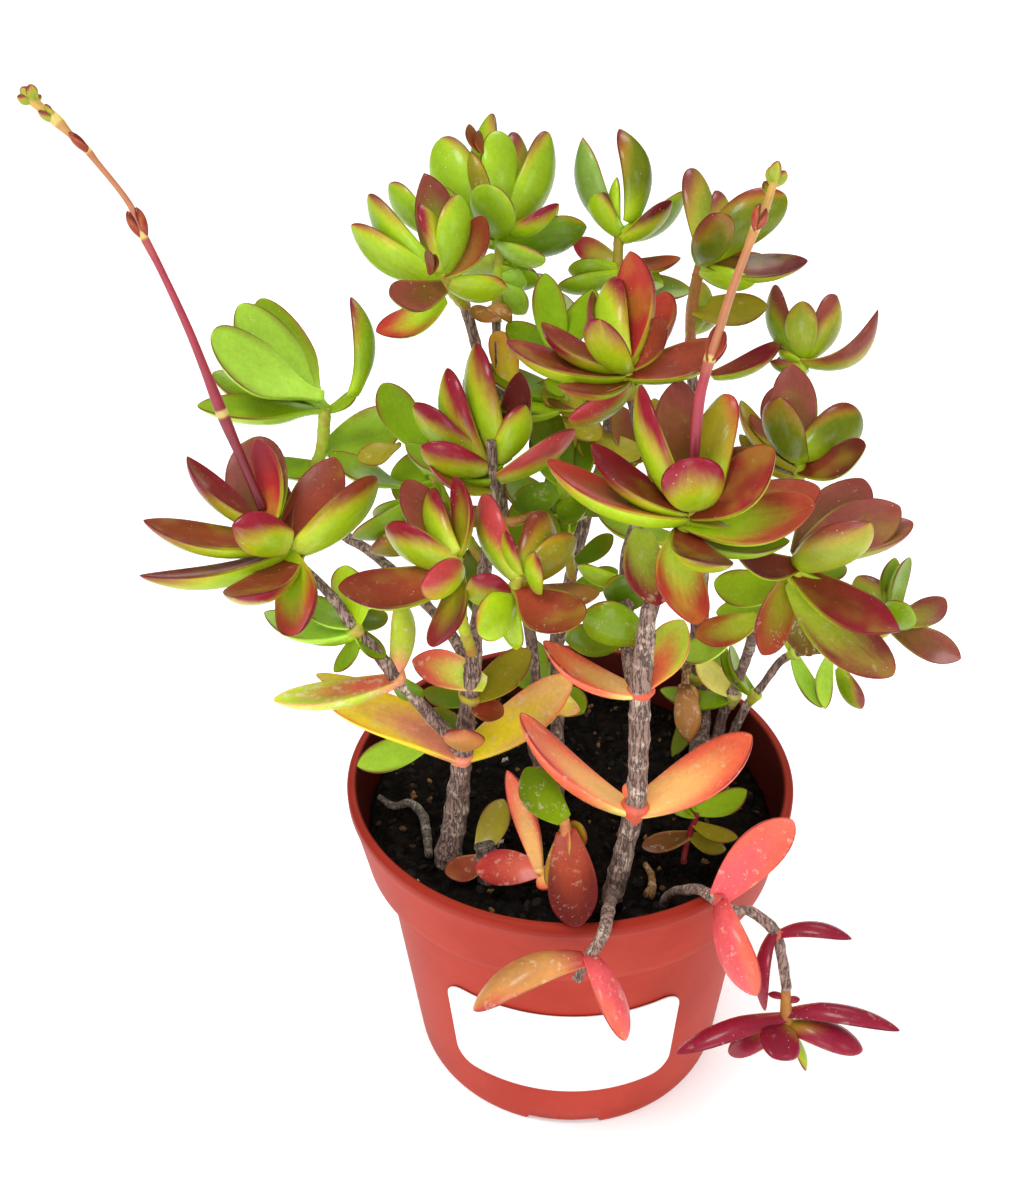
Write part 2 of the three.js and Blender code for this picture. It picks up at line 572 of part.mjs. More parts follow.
    leaves: [
      { tip: [482, 495], seen: 32, down: 1, lean: 0.5 },
      { tip: [505, 531], seen: 17, down: 0, lean: -0.2, long: 12 },
      { tip: [547, 513], seen: 36, down: 0, lean: 0.6, long: 18 },
      { tip: [578, 539], seen: 28, down: 2, lean: 0.5, long: 17 },
      { tip: [537, 552], seen: 20, down: 1, lean: -1, long: 14 },
      { tip: [573, 629], seen: 46, down: 3, lean: -0.6, long: 21, wide: 11 },
      { tip: [478, 584], seen: 34, down: 4, lean: -1, long: 18 },
      { tip: [478, 634], seen: 42, down: 6, lean: -0.6, long: 18 },
      { tip: [600, 592], seen: 22, down: 5, lean: 0.4, long: 18 },
      { tip: [516, 650], seen: 24, down: 6, lean: 0.3, long: 17 },
      { turn: -40, lift: 20, down: 3 },
    ],
  },
  {
    name: 'pair_front_left', color: YELLOW, long: 30, girth: 6.6,
    core: [[460, 768, -18], [462, 752, -18]],
    leaves: [
      { tip: [325, 700], seen: 40, down: 1, lean: 0, wide: 12 },
      { tip: [573, 675], seen: 44, down: 1, lean: 0, wide: 11 },
      { tip: [465, 727], seen: 44, down: 0, lean: -0.9, long: 10, wide: 9 },
      { tip: [355, 767], seen: 30, down: 2.5, lean: 0.7, long: 24, wide: 9 },
      { tip: [432, 708], seen: 34, down: 0, lean: 0.8, long: 17, wide: 8 },
    ],
  },
  {
    name: 'pair_front_left_upper', color: OLIVE, long: 20, girth: 5.6,
    core: [[468, 706, -17.5], [471, 694, -17.3]],
    leaves: [
      { tip: [531, 651], seen: 36, down: 1, lean: -0.3 },
      { tip: [412, 660], seen: 36, down: 1, lean: -0.9 },
      { tip: [503, 716], seen: 24, down: 2, lean: -0.8, long: 9, wide: 6 },
      { tip: [424, 690], seen: 22, down: 2, lean: 0.6, long: 13 },
    ],
  },
  {
    name: 'pair_left_branch', color: YELLOW, long: 26, girth: 4.8,
    core: [[402, 684, -23.4], [394, 675, -24]],
    leaves: [
      { tip: [273, 700], seen: 27, down: 1, lean: 0, wide: 9 },
      { tip: [403, 600], seen: 23, down: 0, lean: 0.6, long: 19, wide: 7 },
      { tip: [316, 674], seen: 18, down: 2, lean: 0.5, long: 20, wide: 7 },
      { tip: [420, 700], seen: 22, down: 1, lean: 0.8, long: 10, wide: 6 },
    ],
  },
  {
    name: 'pair_left_branch_upper', color: GREEN, long: 16, girth: 4.4,
    core: [[360, 635, -25.8], [352, 626, -26]],
    leaves: [
      { tip: [346, 565], seen: 36, down: 0, lean: -0.5, long: 15, wide: 8 },
      { tip: [306, 596], seen: 26, down: 0, lean: 0.4, long: 14, wide: 8 },
      { tip: [386, 612], seen: 22, down: 0, lean: 0.7, long: 11, wide: 6 },
      { tip: [297, 634], seen: 16, down: 2, lean: 0.6, long: 15, wide: 6 },
      { tip: [341, 676], seen: 17, down: 2, lean: 0.4, long: 11, wide: 5 },
      { tip: [264, 612], seen: 28, down: 1, lean: 0.8, long: 20, wide: 8 },
    ],
  },
  {
    name: 'pair_front_right_low', color: CORAL, long: 29, girth: 7,
    core: [[632, 822, -34.2], [636, 802, -34]],
    leaves: [
      { tip: [520, 713], seen: 30, down: 2, lean: 0.1, wide: 11 },
      { tip: [752, 735], seen: 48, down: 2, lean: 0.1, wide: 12 },
      { tip: [633, 782], seen: 20, down: 1, lean: -0.9, long: 7, wide: 5 },
    ],
  },
  {
    name: 'pair_front_right_high', color: CORAL, long: 22, girth: 6.4,
    core: [[640, 700, -33], [641, 688, -33]],
    leaves: [
      { tip: [543, 641], seen: 28, down: 1, lean: -0.2, wide: 9 },
      { tip: [694, 626], seen: 32, down: 1, lean: -0.2, long: 18, wide: 10 },
    ],
  },
  {
    name: 'pair_front_right_branch', color: GREEN, long: 17, girth: 4.8,
    core: [[627, 640, -25.5], [627, 615, -22.5]],
    leaves: [
      { tip: [585, 628], seen: 44, down: 3, lean: -0.6, long: 15, wide: 10 },
      { tip: [602, 588], seen: 36, down: 1, lean: 0, long: 14, wide: 9 },
      { tip: [565, 640], seen: 34, down: 4, lean: 0.4, long: 17, wide: 9 },
      { tip: [575, 543], seen: 24, down: 1, lean: 0.8, long: 20, wide: 8 },
    ],
  },
  {
    name: 'pair_right_stem', color: YELLOW, long: 15, girth: 4.2,
    core: [[730, 707, 24.5], [735, 692, 23.5]],
    leaves: [
      { tip: [697, 657], seen: 24, down: 1, lean: -0.3, wide: 7 },
      { tip: [660, 690], seen: 20, down: 2, lean: 0.2, wide: 7 },
    ],
  },
  {
    name: 'pair_far_right_stem', color: GREEN, long: 14, girth: 3.8,
    core: [[749, 703, 20.5], [757, 692, 20.7]],
    leaves: [
      { tip: [722, 652], seen: 18, down: 1, lean: 0, wide: 6 },
      { turn: 60, lift: 30, down: 1 },
    ],
  },
  {
    name: 'pair_far_right_hanging', color: LIME, long: 13, girth: 3.6,
    core: [[788, 656, 18.5], [797, 652, 17.5]],
    leaves: [
      { tip: [820, 705], seen: 20, down: 1, lean: 0.3, wide: 6 },
      { tip: [825, 709], seen: 18, down: 0, lean: 0.9, long: 15, wide: 6 },
      { tip: [788, 610], seen: 18, down: 1, lean: 0.3, long: 11, wide: 6 },
    ],
  },
  {
    name: 'pair_far_right_end', color: MAUVE, long: 14, girth: 3.4,
    core: [[836, 650, 12], [845, 647, 11]],
    leaves: [
      { tip: [861, 710], seen: 20, down: 0, lean: 0.3, wide: 6 },
      { turn: 20, lift: 20, down: 1 },
    ],
  },
  {
    name: 'pair_right_trunk', color: GREEN, long: 17, girth: 6,
    core: [[700, 690, 31], [699, 672, 31]],
    leaves: [
      { tip: [672, 757], seen: 20, down: 1, lean: -0.4, wide: 6 },
      { tip: [722, 640], seen: 30, down: 0, lean: 0.6, wide: 8 },
      { turn: 20, lift: 20, down: 1, wide: 8 },
    ],
  },
  {
    name: 'pair_back_trunk', color: GREEN, long: 18, girth: 5.6,
    core: [[560, 700, 13], [558, 684, 14]],
    leaves: [
      { tip: [584, 713], seen: 30, down: 1, lean: -0.2, long: 10, wide: 7 },
      { tip: [566, 716], seen: 34, down: 2, lean: -0.7, long: 15, wide: 9 },
      { turn: 30, lift: 15, down: 1 },
    ],
  },
  {
    name: 'pair_back_left_trunk', color: GREEN, long: 16, girth: 4.6,
    core: [[536, 700, 9], [535, 686, 9.6]],
    leaves: [
      { tip: [500, 655], seen: 20, down: 1, lean: 0.2, long: 12, wide: 6 },
      { turn: 0, lift: 25, down: 1 },
    ],
  },
  {
    name: 'shoot_front_small', color: CORAL, long: 20, girth: 2.6, root: [560, 893],
    core: [[559, 886, -30.5], [548, 876, -31], [538, 868, -33]],
    leaves: [
      { tip: [507, 770], seen: 24, down: 0, lean: 0.2, long: 21, wide: 6 },
      { tip: [475, 868], seen: 36, down: 1, lean: -0.2, long: 14, wide: 8 },
      { tip: [549, 888], seen: 24, down: 2, lean: -1, long: 9, wide: 5 },
    ],
  },
  {
    name: 'shoot_front_dark', color: YELLOW, long: 18, girth: 2.6, root: [574, 895],
    core: [[574, 873, -31], [568, 840, -32], [564, 820, -32]],
    leaves: [
      { tip: [525, 768], seen: 40, down: 0, lean: 0, long: 15, wide: 9.5, neck: 0.35 },
      { tip: [578, 926], seen: 50, down: 3, lean: -0.9, long: 24, wide: 10.5 },
      { tip: [548, 886], seen: 22, down: 2, lean: -0.2, long: 13, wide: 6 },
      { tip: [581, 824], seen: 24, down: 9, lean: -0.6, long: 12, wide: 6 },
    ],
  },
  {
    name: 'shoot_right_small', color: GREEN, long: 11, girth: 1.8, root: [684, 862],
    core: [[684, 858, -20], [689, 836, -18.5], [698, 812, -17]],
    leaves: [
      { tip: [747, 790], seen: 24, down: 0, lean: 0.4, long: 13, wide: 6 },
      { tip: [692, 790], seen: 15, down: 0, lean: 0.5, long: 9, wide: 4.5 },
      { tip: [668, 797], seen: 20, down: 1, lean: 0.4, long: 10, wide: 6 },
      { tip: [738, 838], seen: 16, down: 3, lean: 0, long: 10, wide: 5 },
      { tip: [726, 850], seen: 18, down: 6, lean: 0.3, long: 10, wide: 5 },
      { tip: [642, 847], seen: 20, down: 6, lean: 0.3, long: 11, wide: 5.5 },
      { turn: 10, lift: 25, down: 1 },
    ],
  },
  {
    name: 'trailing_front', color: OLIVE, long: 24, girth: 3.6,
    core: [[592, 950, -57], [586, 960, -57.8]],
    leaves: [
      { tip: [473, 1010], seen: 32, down: 0, lean: 0.1, long: 25, wide: 9 },
      { tip: [625, 1041], seen: 28, down: 1, lean: -0.3, long: 21, wide: 8 },
    ],
  },
  {
    name: 'trailing_right_upper', color: CORAL, long: 20, girth: 3.6,
    core: [[712, 896, -45.8], [721, 902, -46.9]],
    leaves: [
      { tip: [793, 820], seen: 44, down: 1, lean: 0.2, long: 22, wide: 10 },
      { tip: [757, 996], seen: 33, down: 0, lean: -0.2, long: 22, wide: 9 },
    ],
  },
  {
    name: 'trailing_right_middle', color: CRIMSON, long: 17, girth: 3.2,
    core: [[772, 928, -44.5], [778, 936, -44.8]],
    leaves: [
      { tip: [852, 939], seen: 16, down: 0, lean: 0, long: 17, wide: 6 },
      { tip: [765, 1011], seen: 14, down: 1, lean: 0, long: 17, wide: 6 },
    ],
  },
  {
    name: 'trailing_right_end', color: CRIMSON, long: 22, girth: 3,
    core: [[786, 979, -45], [786, 1005, -45], [787, 1030, -46]],
    leaves: [
      { tip: [676, 1054], seen: 24, down: 3, lean: -0.1, long: 26, wide: 8 },
      { tip: [900, 1031], seen: 22, down: 4, lean: 0.1, long: 25, wide: 8 },
      { tip: [728, 1052], seen: 28, down: 1, lean: 0.7, long: 16, wide: 8 },
      { tip: [863, 1050], seen: 30, down: 1, lean: 0.3, long: 18, wide: 8.5 },
      { tip: [772, 1058], seen: 44, down: 1, lean: -0.9, long: 12, wide: 9 },
      { tip: [806, 1071], seen: 10, down: 0, lean: 0.4, long: 10, wide: 4 },
      { tip: [768, 994], seen: 10, down: 9, lean: 0, long: 5, wide: 3 },
      { tip: [800, 999], seen: 10, down: 8, lean: 0, long: 4.5, wide: 3 },
      { turn: 20, lift: 0, down: 2, long: 16 },
    ],
  },
];

// Woody stems: each limb is a list of pixel across, pixel down, depth and thickness in mm. A stem
// stands in the soil at the pixel of its root.
const STEMS = [
  {
    name: 'stem_front_left', root: [448, 860],
    limbs: [
      [
        [452, 835, -19, 5.6], [455, 820, -18, 5.4], [462, 757, -18, 4.4], [466, 719, -18, 3.9],
        [472, 680, -17, 3.5], [475, 641, -16, 3.3], [481, 600, -13, 3], [486, 560, -11, 2.8],
        [493, 512, -9, 2.5],
      ],
      [
        [461, 752, -18, 3], [447, 733, -19.5, 2.8], [430, 715, -21, 2.7], [410, 692, -23, 2.7],
        [397, 679, -24, 2.8], [375, 650, -25, 2.4], [352, 626, -26, 2.3], [335, 600, -26, 2],
        [301, 566, -25, 2],
      ],
      [
        [473, 676, -17, 2.6], [455, 640, -9, 2.4], [425, 603, -3, 2.3], [372, 553, 6, 2.3],
        [345, 536, 10, 2.2], [305, 512, 15, 2], [300, 498, 17, 2], [311, 477, 17.5, 2],
      ],
    ],
  },
  {
    name: 'stem_front_right', root: [612, 900],
    limbs: [
      [
        [620, 868, -33.8, 4.3], [628, 835, -34, 4.2], [635, 805, -34, 4.4], [639, 745, -33.5, 3.9],
        [640, 693, -33, 4.2], [645, 644, -33, 3.6], [651, 605, -32.5, 3.2], [659, 594, -32, 3],
      ],
      [
        [640, 700, -32.5, 3.2], [631, 668, -29, 3], [627, 640, -25.5, 2.8], [627, 600, -21, 2.7],
        [627, 555, -16, 2.6], [640, 515, -13.5, 2.5], [655, 470, -12.5, 2.5], [641, 430, -13, 2.4],
        [633, 402, -14, 2.3],
      ],
      [
        [613, 893, -34.5, 3], [611, 899, -41, 2.7], [608, 911, -50, 2.5], [605, 928, -54.8, 2.5],
        [598, 944, -57, 2.4], [586, 960, -57.8, 2.4], [579, 975, -58, 1.8],
      ],
    ],
  },
  {
    name: 'stem_back_left', root: [539, 790],
    limbs: [
      [
        [540, 770, 5, 3], [532, 738, 8, 2.8], [536, 690, 9.5, 2.7], [528, 620, 12, 2.6],
        [512, 560, 14.5, 2.4], [499, 480, 19, 2.3], [487, 420, 20, 2.3], [476, 345, 21.5, 2.2],
        [466, 310, 21.5, 2.2],
      ],
      [[494, 455, 19.5, 2.2], [500, 400, 22, 2], [497, 350, 24.5, 2], [496, 326, 25, 2]],
    ],
  },
  {
    name: 'stem_back', root: [557, 806],
    limbs: [
      [
        [556, 770, 4, 3.6], [557, 735, 9, 3.4], [558, 690, 13.5, 3.1], [556, 640, 17, 3],
        [575, 560, 22, 2.7], [604, 450, 29, 2.5], [614, 360, 33, 2.2], [619, 296, 34, 2],
      ],
      [[558, 650, 16, 2.4], [566, 610, 13, 2.3], [572, 574, 10.5, 2.1]],
      [[570, 582, 20.5, 2.3], [577, 530, 19, 2.1], [578, 474, 18, 2]],
    ],
  },
  {
    name: 'stem_right_trunk', root: [700, 764],
    limbs: [
      [
        [700, 736, 22.5, 5], [702, 700, 29, 4.8], [699, 660, 32, 4.6], [700, 590, 32, 4.2],
        [700, 500, 33, 3.4], [696, 420, 33, 2.8], [690, 356, 33, 2.4],
      ],
      [
        [700, 570, 32, 3.2], [725, 520, 25, 2.9], [752, 500, 12, 2.7], [782, 500, 3, 2.5],
        [797, 492, 1, 2.3],
      ],
      [[727, 518, 25, 2.6], [748, 470, 22, 2.4], [775, 425, 18.5, 2.2], [794, 396, 18, 2]],
    ],
  },
  {
    name: 'stem_right', root: [713, 752],
    limbs: [
      [
        [719, 731, 24.5, 3], [723, 714, 25, 3], [733, 692, 23.5, 2.7], [748, 653, 19, 2.5],
        [755, 628, 10, 2.4], [770, 604, -10, 2.3], [785, 594, -24, 2.3],
      ],
    ],
  },
  {
    name: 'stem_far_right', root: [728, 750],
    limbs: [
      [
        [733, 734, 21, 2.4], [747, 705, 20.5, 2.1], [762, 686, 21, 2], [781, 661, 19.5, 1.9],
        [796, 653, 17.5, 1.9], [840, 649, 11.5, 1.8], [868, 641, 8.5, 1.7],
      ],
    ],
  },
  {
    name: 'stem_trailing_right', root: [664, 904],
    limbs: [
      [
        [672, 893, -36, 2], [684, 890, -40.5, 2], [701, 890, -43.6, 2.1], [716, 900, -46.6, 2.2],
        [733, 910, -47, 2.2], [750, 911, -44.8, 2.1], [775, 932, -44.7, 2.3], [782, 958, -45, 2.1],
        [786, 984, -45, 2.1],
      ],
    ],
  },
];

// Flower stalks: a limb as above, with bracts and buds as small leaves on it.
const STALKS = [
  {
    name: 'flower_stalk_left', color: CORAL, long: 7,
    limb: [
      [263, 509, -25, 2.2], [240, 455, -25, 2.1], [222, 413, -25, 2.2], [205, 370, -24.5, 1.9],
      [188, 328, -24, 1.7], [160, 268, -23, 1.5], [143, 235, -22, 1.7], [130, 205, -21.5, 1.3],
      [95, 160, -20.5, 1.3], [87, 150, -20, 1.6], [70, 134, -20, 1.4], [56, 120, -20, 2.4],
      [40, 107, -20, 1.8], [30, 98, -20, 2.2],
    ],
    leaves: [
      { from: [219, 408, -25], tip: [210, 386], seen: 9, lean: 0, long: 5 },
      { from: [143, 238, -22], tip: [127, 211], seen: 9, lean: 0, long: 6 },
      { from: [146, 236, -22], tip: [136, 207], seen: 9, lean: 0, long: 7 },
      { from: [90, 153, -20], tip: [69, 132], seen: 10, lean: 0, long: 6 },
      { from: [56, 120, -20], tip: [38, 111], seen: 8, lean: 0, long: 5 },
      { from: [54, 117, -20], tip: [45, 104], seen: 8, lean: 0, long: 4 },
      { from: [33, 101, -20], tip: [17, 97], seen: 10, lean: 0, long: 4 },
      { from: [33, 101, -20], tip: [21, 87], seen: 12, lean: 0, long: 4.5 },
      { from: [33, 101, -20], tip: [31, 84], seen: 12, lean: -0.4, long: 4.5 },
      { from: [33, 101, -20], tip: [38, 94], seen: 8, lean: 0.5, long: 3.5 },
    ],
  },
  {
    name: 'flower_stalk_right', color: CORAL, long: 7,
    limb: [
      [693, 496, -35, 2.4], [698, 450, -34.5, 2.2], [704, 410, -34, 2.1], [710, 370, -33.5, 2],
      [713, 348, -33, 2.2], [722, 310, -32, 1.9], [731, 280, -31, 1.7], [742, 258, -30, 1.7],
      [754, 232, -29, 1.9], [762, 210, -28, 1.6], [768, 194, -27.5, 1.6], [776, 180, -27, 2.4],
    ],
    leaves: [
      { from: [712, 352, -33], tip: [707, 325], seen: 10, lean: 0, long: 6 },
      { from: [714, 352, -33], tip: [723, 328], seen: 10, lean: 0, long: 6 },
      { from: [753, 235, -29], tip: [748, 214], seen: 9, lean: 0, long: 5 },
      { from: [755, 233, -29], tip: [766, 212], seen: 9, lean: 0, long: 5 },
      { from: [773, 186, -27], tip: [770, 165], seen: 12, lean: 0, long: 5 },
      { from: [773, 186, -27], tip: [780, 161], seen: 12, lean: -0.4, long: 6 },
      { from: [773, 186, -27], tip: [788, 172], seen: 12, lean: 0, long: 5 },
      { from: [772, 190, -27], tip: [762, 180], seen: 9, lean: 0, long: 4 },
    ],
  },
];

// Dead pieces that lie, stand or hang in the pot: limbs and dried leaves.
const DEBRIS = [
  {
    name: 'dead_twig', color: GREY, long: 8,
    limb: [
      [429, 856, -21.4, 1.8], [427, 836, -14.4, 2], [422, 814, -7, 2.2], [409, 803, -3, 2],
      [394, 806, -4.2, 1.8], [379, 797, -1, 1.2],
    ],
    leaves: [],
  },
  {
    name: 'dried_curl', color: TAN, long: 9,
    limb: [[645, 864, -22.4, 1.2], [651, 874, -25.8, 1.4], [652, 886, -29.6, 1.8], [649, 895, -33, 2.4]],
    leaves: [],
  },
  {
    name: 'grey_stub', color: GREY, long: 12, root: [487, 878],
    limb: [[487, 876, -26, 4.4], [488, 860, -25.5, 4.6], [484, 845, -25, 4.2]],
    leaves: [
      { from: [480, 852, -25.5], tip: [504, 799], seen: 30, lean: 0.2, long: 12.5, wide: 7 },
      { from: [486, 859, -25.5], tip: [445, 873], seen: 26, lean: -0.3, long: 11, wide: 6.5 },
    ],
  },
  {
    name: 'dried_leaf_hanging', color: TAN, long: 18,
    limb: [[688, 662, 26.3, 2.2], [686, 676, 25.8, 2.2], [685, 690, 25.4, 2.4]],
    leaves: [
      { from: [684, 684, 25.5], tip: [690, 742], seen: 30, lean: 0, long: 14, wide: 7 },
      { from: [688, 684, 25.5], tip: [699, 702], seen: 12, lean: 0, long: 6, wide: 3 },
    ],
  },
];

const plant = new THREE.Group();

// One named mesh for a finished solid.
function addPart(name, body, color, roughness) {
  const data = body.getMesh();
  const points = new Float32Array(data.numVert * 3);
  for (let v = 0; v < data.numVert; v += 1) {
    points.set(data.vertProperties.subarray(v * data.numProp, v * data.numProp + 3), v * 3);
  }
  const geometry = new THREE.BufferGeometry();
  geometry.setAttribute('position', new THREE.BufferAttribute(points, 3));
  geometry.setIndex(new THREE.BufferAttribute(data.triVerts, 1));
  const material = new THREE.MeshStandardMaterial({ color, roughness, metalness: 0 });
  const mesh = new THREE.Mesh(geometry, material);
  mesh.name = name;
  plant.add(mesh);
}

function limbOf(path, grow = 0) {
  return limb(path.map((step) => seen(step.slice(0, 3))), path.map((step) => step[3]), grow);
}

// A straight root from a thickness at the soil's surface up to a point, and down into the soil.
function rootOf(pixel, point, thickness, grow = 0) {
  const surface = seenAtHeight(pixel, SOIL_LEVEL);
  const bottom = surface.clone().setZ(SOIL_LEVEL - ROOT_REACH);
  const collar = surface.clone().setZ(SOIL_LEVEL + 0.5);
  return limb([bottom, collar, point], [thickness * 1.1, thickness * 1.1, thickness], grow);
}

function stemSolid(stem, grow = 0) {
  const limbs = stem.limbs.map((path) => limbOf(path, grow));
  const [px, py, depth, thickness] = stem.limbs[0][0];
  return join([rootOf(stem.root, seen([px, py, depth]), thickness, grow), ...limbs]);
}

// A leafy shoot: its core, the leaves on it and, if it stands in the soil by itself, a root.
function shootSolid(shoot) {
  const margin = shoot.name.startsWith('rosette') ? ROSETTE_CORE_MARGIN : CORE_MARGIN;
  const core = shoot.core.map(seen);
  const leaves = shoot.leaves.map((leaf) => leafSolid(leaf, shoot, pointDown(shoot, leaf.down ?? 0)));
  const solids = [limb(core, core.map(() => shoot.girth + margin)), ...leaves];
  if (shoot.root) solids.push(rootOf(shoot.root, core[0], shoot.girth));
  return join(solids);
}

// A flower stalk or a dead piece: a limb with small leaves on it.
function stalkSolid(stalk) {
  const grows = seen(stalk.limb.at(-1).slice(0, 3)).sub(seen(stalk.limb[0])).normalize();
  const leaves = stalk.leaves.map((leaf) => leafSolid(leaf, stalk, { grows }));
  const [px, py, depth, thickness] = stalk.limb[0];
  const roots = stalk.root ? [rootOf(stalk.root, seen([px, py, depth]), thickness)] : [];
  return join([limbOf(stalk.limb), ...leaves, ...roots]);
}

// A turned piece from a profile of radii and heights.
function turned(profile) {
  const outline = profile.map(([radius, height]) => new THREE.Vector2(radius, height));
  return new THREE.LatheGeometry(outline, POT_SIDES).rotateX(Math.PI / 2);
}

// The radius of the pot's outside at a height of its body.
function bodyRadius(height) {
  return THREE.MathUtils.lerp(BASE_RADIUS, BODY_TOP_RADIUS, height / COLLAR_FOOT_HEIGHT);
}

// The inside of the pot from its floor to its rim.
const INSIDE = [
  [bodyRadius(FLOOR) - WALL, FLOOR],
  [BODY_TOP_RADIUS - WALL, COLLAR_FOOT_HEIGHT - 1],
  [COLLAR_FOOT_RADIUS - WALL, COLLAR_FOOT_HEIGHT + 2],
  [RIM_RADIUS - LIP, POT_HEIGHT],
];

// One drain notch: a shallow sector under the floor, with a round hole up through it.
function notchSolid(angle) {
  const half = THREE.MathUtils.degToRad(NOTCH_HALF_ANGLE);
  const sector = new THREE.Shape();
  sector.absarc(0, 0, BASE_RADIUS + 1, -half, half, false);
  sector.absarc(0, 0, BASE_RADIUS - NOTCH_REACH, half, -half, true);
  const recess = new THREE.ExtrudeGeometry(sector, {
    depth: NOTCH_HEIGHT + 1, bevelEnabled: false, curveSegments: 4,
  }).translate(0, 0, -1);
  const drain = new THREE.CylinderGeometry(DRAIN_RADIUS, DRAIN_RADIUS, 2 * FLOOR, 12)
    .rotateX(Math.PI / 2).translate(DRAIN_FROM_AXIS, 0, FLOOR);
  const turn = THREE.MathUtils.degToRad(angle);
  return join([recess, drain].map((geometry) => solid(geometry.rotateZ(turn))));
}

function potSolid() {
  const shell = turned([
    [0, 0], [BASE_RADIUS, 0], [BODY_TOP_RADIUS, COLLAR_FOOT_HEIGHT],
    [COLLAR_FOOT_RADIUS, COLLAR_FOOT_HEIGHT], [RIM_RADIUS, POT_HEIGHT - RIM_ROUND],
    [RIM_RADIUS - RIM_ROUND, POT_HEIGHT], ...INSIDE.toReversed(), [0, FLOOR],
  ]);
  const notches = Array.from({ length: NOTCHES }, (_, i) => notchSolid(FIRST_NOTCH + i * 360 / NOTCHES));
  return notches.reduce((pot, notch) => pot.subtract(notch), solid(shell));
}

// The label: a thin sheet with round corners, bent round the pot at a small gap.
function labelSolid() {
  const middle = (LABEL_BOTTOM + LABEL_TOP) / 2;
  const span = THREE.MathUtils.degToRad(LABEL_TO - LABEL_FROM) * bodyRadius(middle);
  const rings = [];
  for (let s = 0; s <= LABEL_STEPS; s += 1) {
    const share = (1 - Math.cos(Math.PI * s / LABEL_STEPS)) / 2;
    const fromEnd = Math.min(share, 1 - share) * span;
    const short = Math.max(0, LABEL_CORNER - fromEnd);
    const inset = LABEL_CORNER - Math.sqrt(LABEL_CORNER ** 2 - short ** 2);
    const angle = THREE.MathUtils.degToRad(THREE.MathUtils.lerp(LABEL_FROM, LABEL_TO, share));
    const at = (height, out) => {
      const radius = bodyRadius(height) + GAP + out;
      return new THREE.Vector3(radius * Math.cos(angle), radius * Math.sin(angle), height);
    };
    const [low, high] = [LABEL_BOTTOM + inset, LABEL_TOP - inset];
    rings.push([at(low, 0), at(high, 0), at(high, LABEL_THICK), at(low, LABEL_THICK)]);
  }
  return solid(loft(rings));
}

// The soil: it fills the pot to its level, with a slightly uneven top.
function soilSolid() {
  const [foot, bodyTop, collarFoot, rim] = INSIDE.map(([radius]) => radius - GAP);
  const top = collarFoot + (rim - collarFoot) * (SOIL_LEVEL - INSIDE[2][1]) / (POT_HEIGHT - INSIDE[2][1]);
  const soil = turned([
    [0, FLOOR + GAP], [foot, FLOOR + GAP], [bodyTop, INSIDE[1][1]], [collarFoot, INSIDE[2][1]],
    [top, SOIL_LEVEL], [0.6 * top, SOIL_LEVEL], [0, SOIL_LEVEL],
  ]);
  const places = soil.attributes.position;
  for (let v = 0; v < places.count; v += 1) {
    const [x, y, z] = [places.getX(v), places.getY(v), places.getZ(v)];
    if (z > SOIL_LEVEL - 0.1) places.setZ(v, z + SOIL_RELIEF * Math.sin(0.3 * x + 1) * Math.cos(0.26 * y));
  }
  return solid(soil);
}

const stemRooms = STEMS.map((stem) => stemSolid(stem, GAP));
const stalkRooms = STALKS.map((stalk) => limbOf(stalk.limb, GAP));
const rootRooms = [...SHOOTS, ...DEBRIS].filter((piece) => piece.root).map((piece) => {
  const [px, py, depth, thickness = piece.girth] = (piece.core ?? piece.limb)[0];
  return rootOf(piece.root, seen([px, py, depth]), thickness, GAP);
});

addPart('pot', potSolid(), TERRACOTTA, 0.45);
addPart('label', labelSolid(), PAPER, 0.6);
const soil = [...stemRooms, ...rootRooms].reduce((left, room) => left.subtract(room), soilSolid());
addPart('soil', mainBody(soil), SOIL_BROWN, 1);
STEMS.forEach((stem) => addPart(stem.name, stemSolid(stem), BARK, 0.9));
STALKS.forEach((stalk) => addPart(stalk.name, stalkSolid(stalk), stalk.color, 0.5));
DEBRIS.forEach((piece) => addPart(piece.name, stalkSolid(piece), piece.color, 0.9));
SHOOTS.forEach((shoot) => {
  const rooms = [...stemRooms, ...stalkRooms];
  const body = rooms.reduce((left, room) => left.subtract(room), shootSolid(shoot));
  addPart(shoot.name, mainBody(body), shoot.color, 0.5);
});

export default plant;
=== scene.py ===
# %% [markdown]
# # A potted crassula
# The plant is a thick-leaved succulent in a small nursery pot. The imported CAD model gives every
# piece its place and size. This lesson gives each piece its fine shape and its finish: fleshy
# leaves that blush red toward the light, cracked bark, rough soil and moulded plastic. Everything
# could be sculpted by hand, but a plant repeats a few simple growths many times, so each growth
# gets one function and a short list of where it happens.

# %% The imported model
import math

import bpy
import numpy as np
from mathutils import Matrix


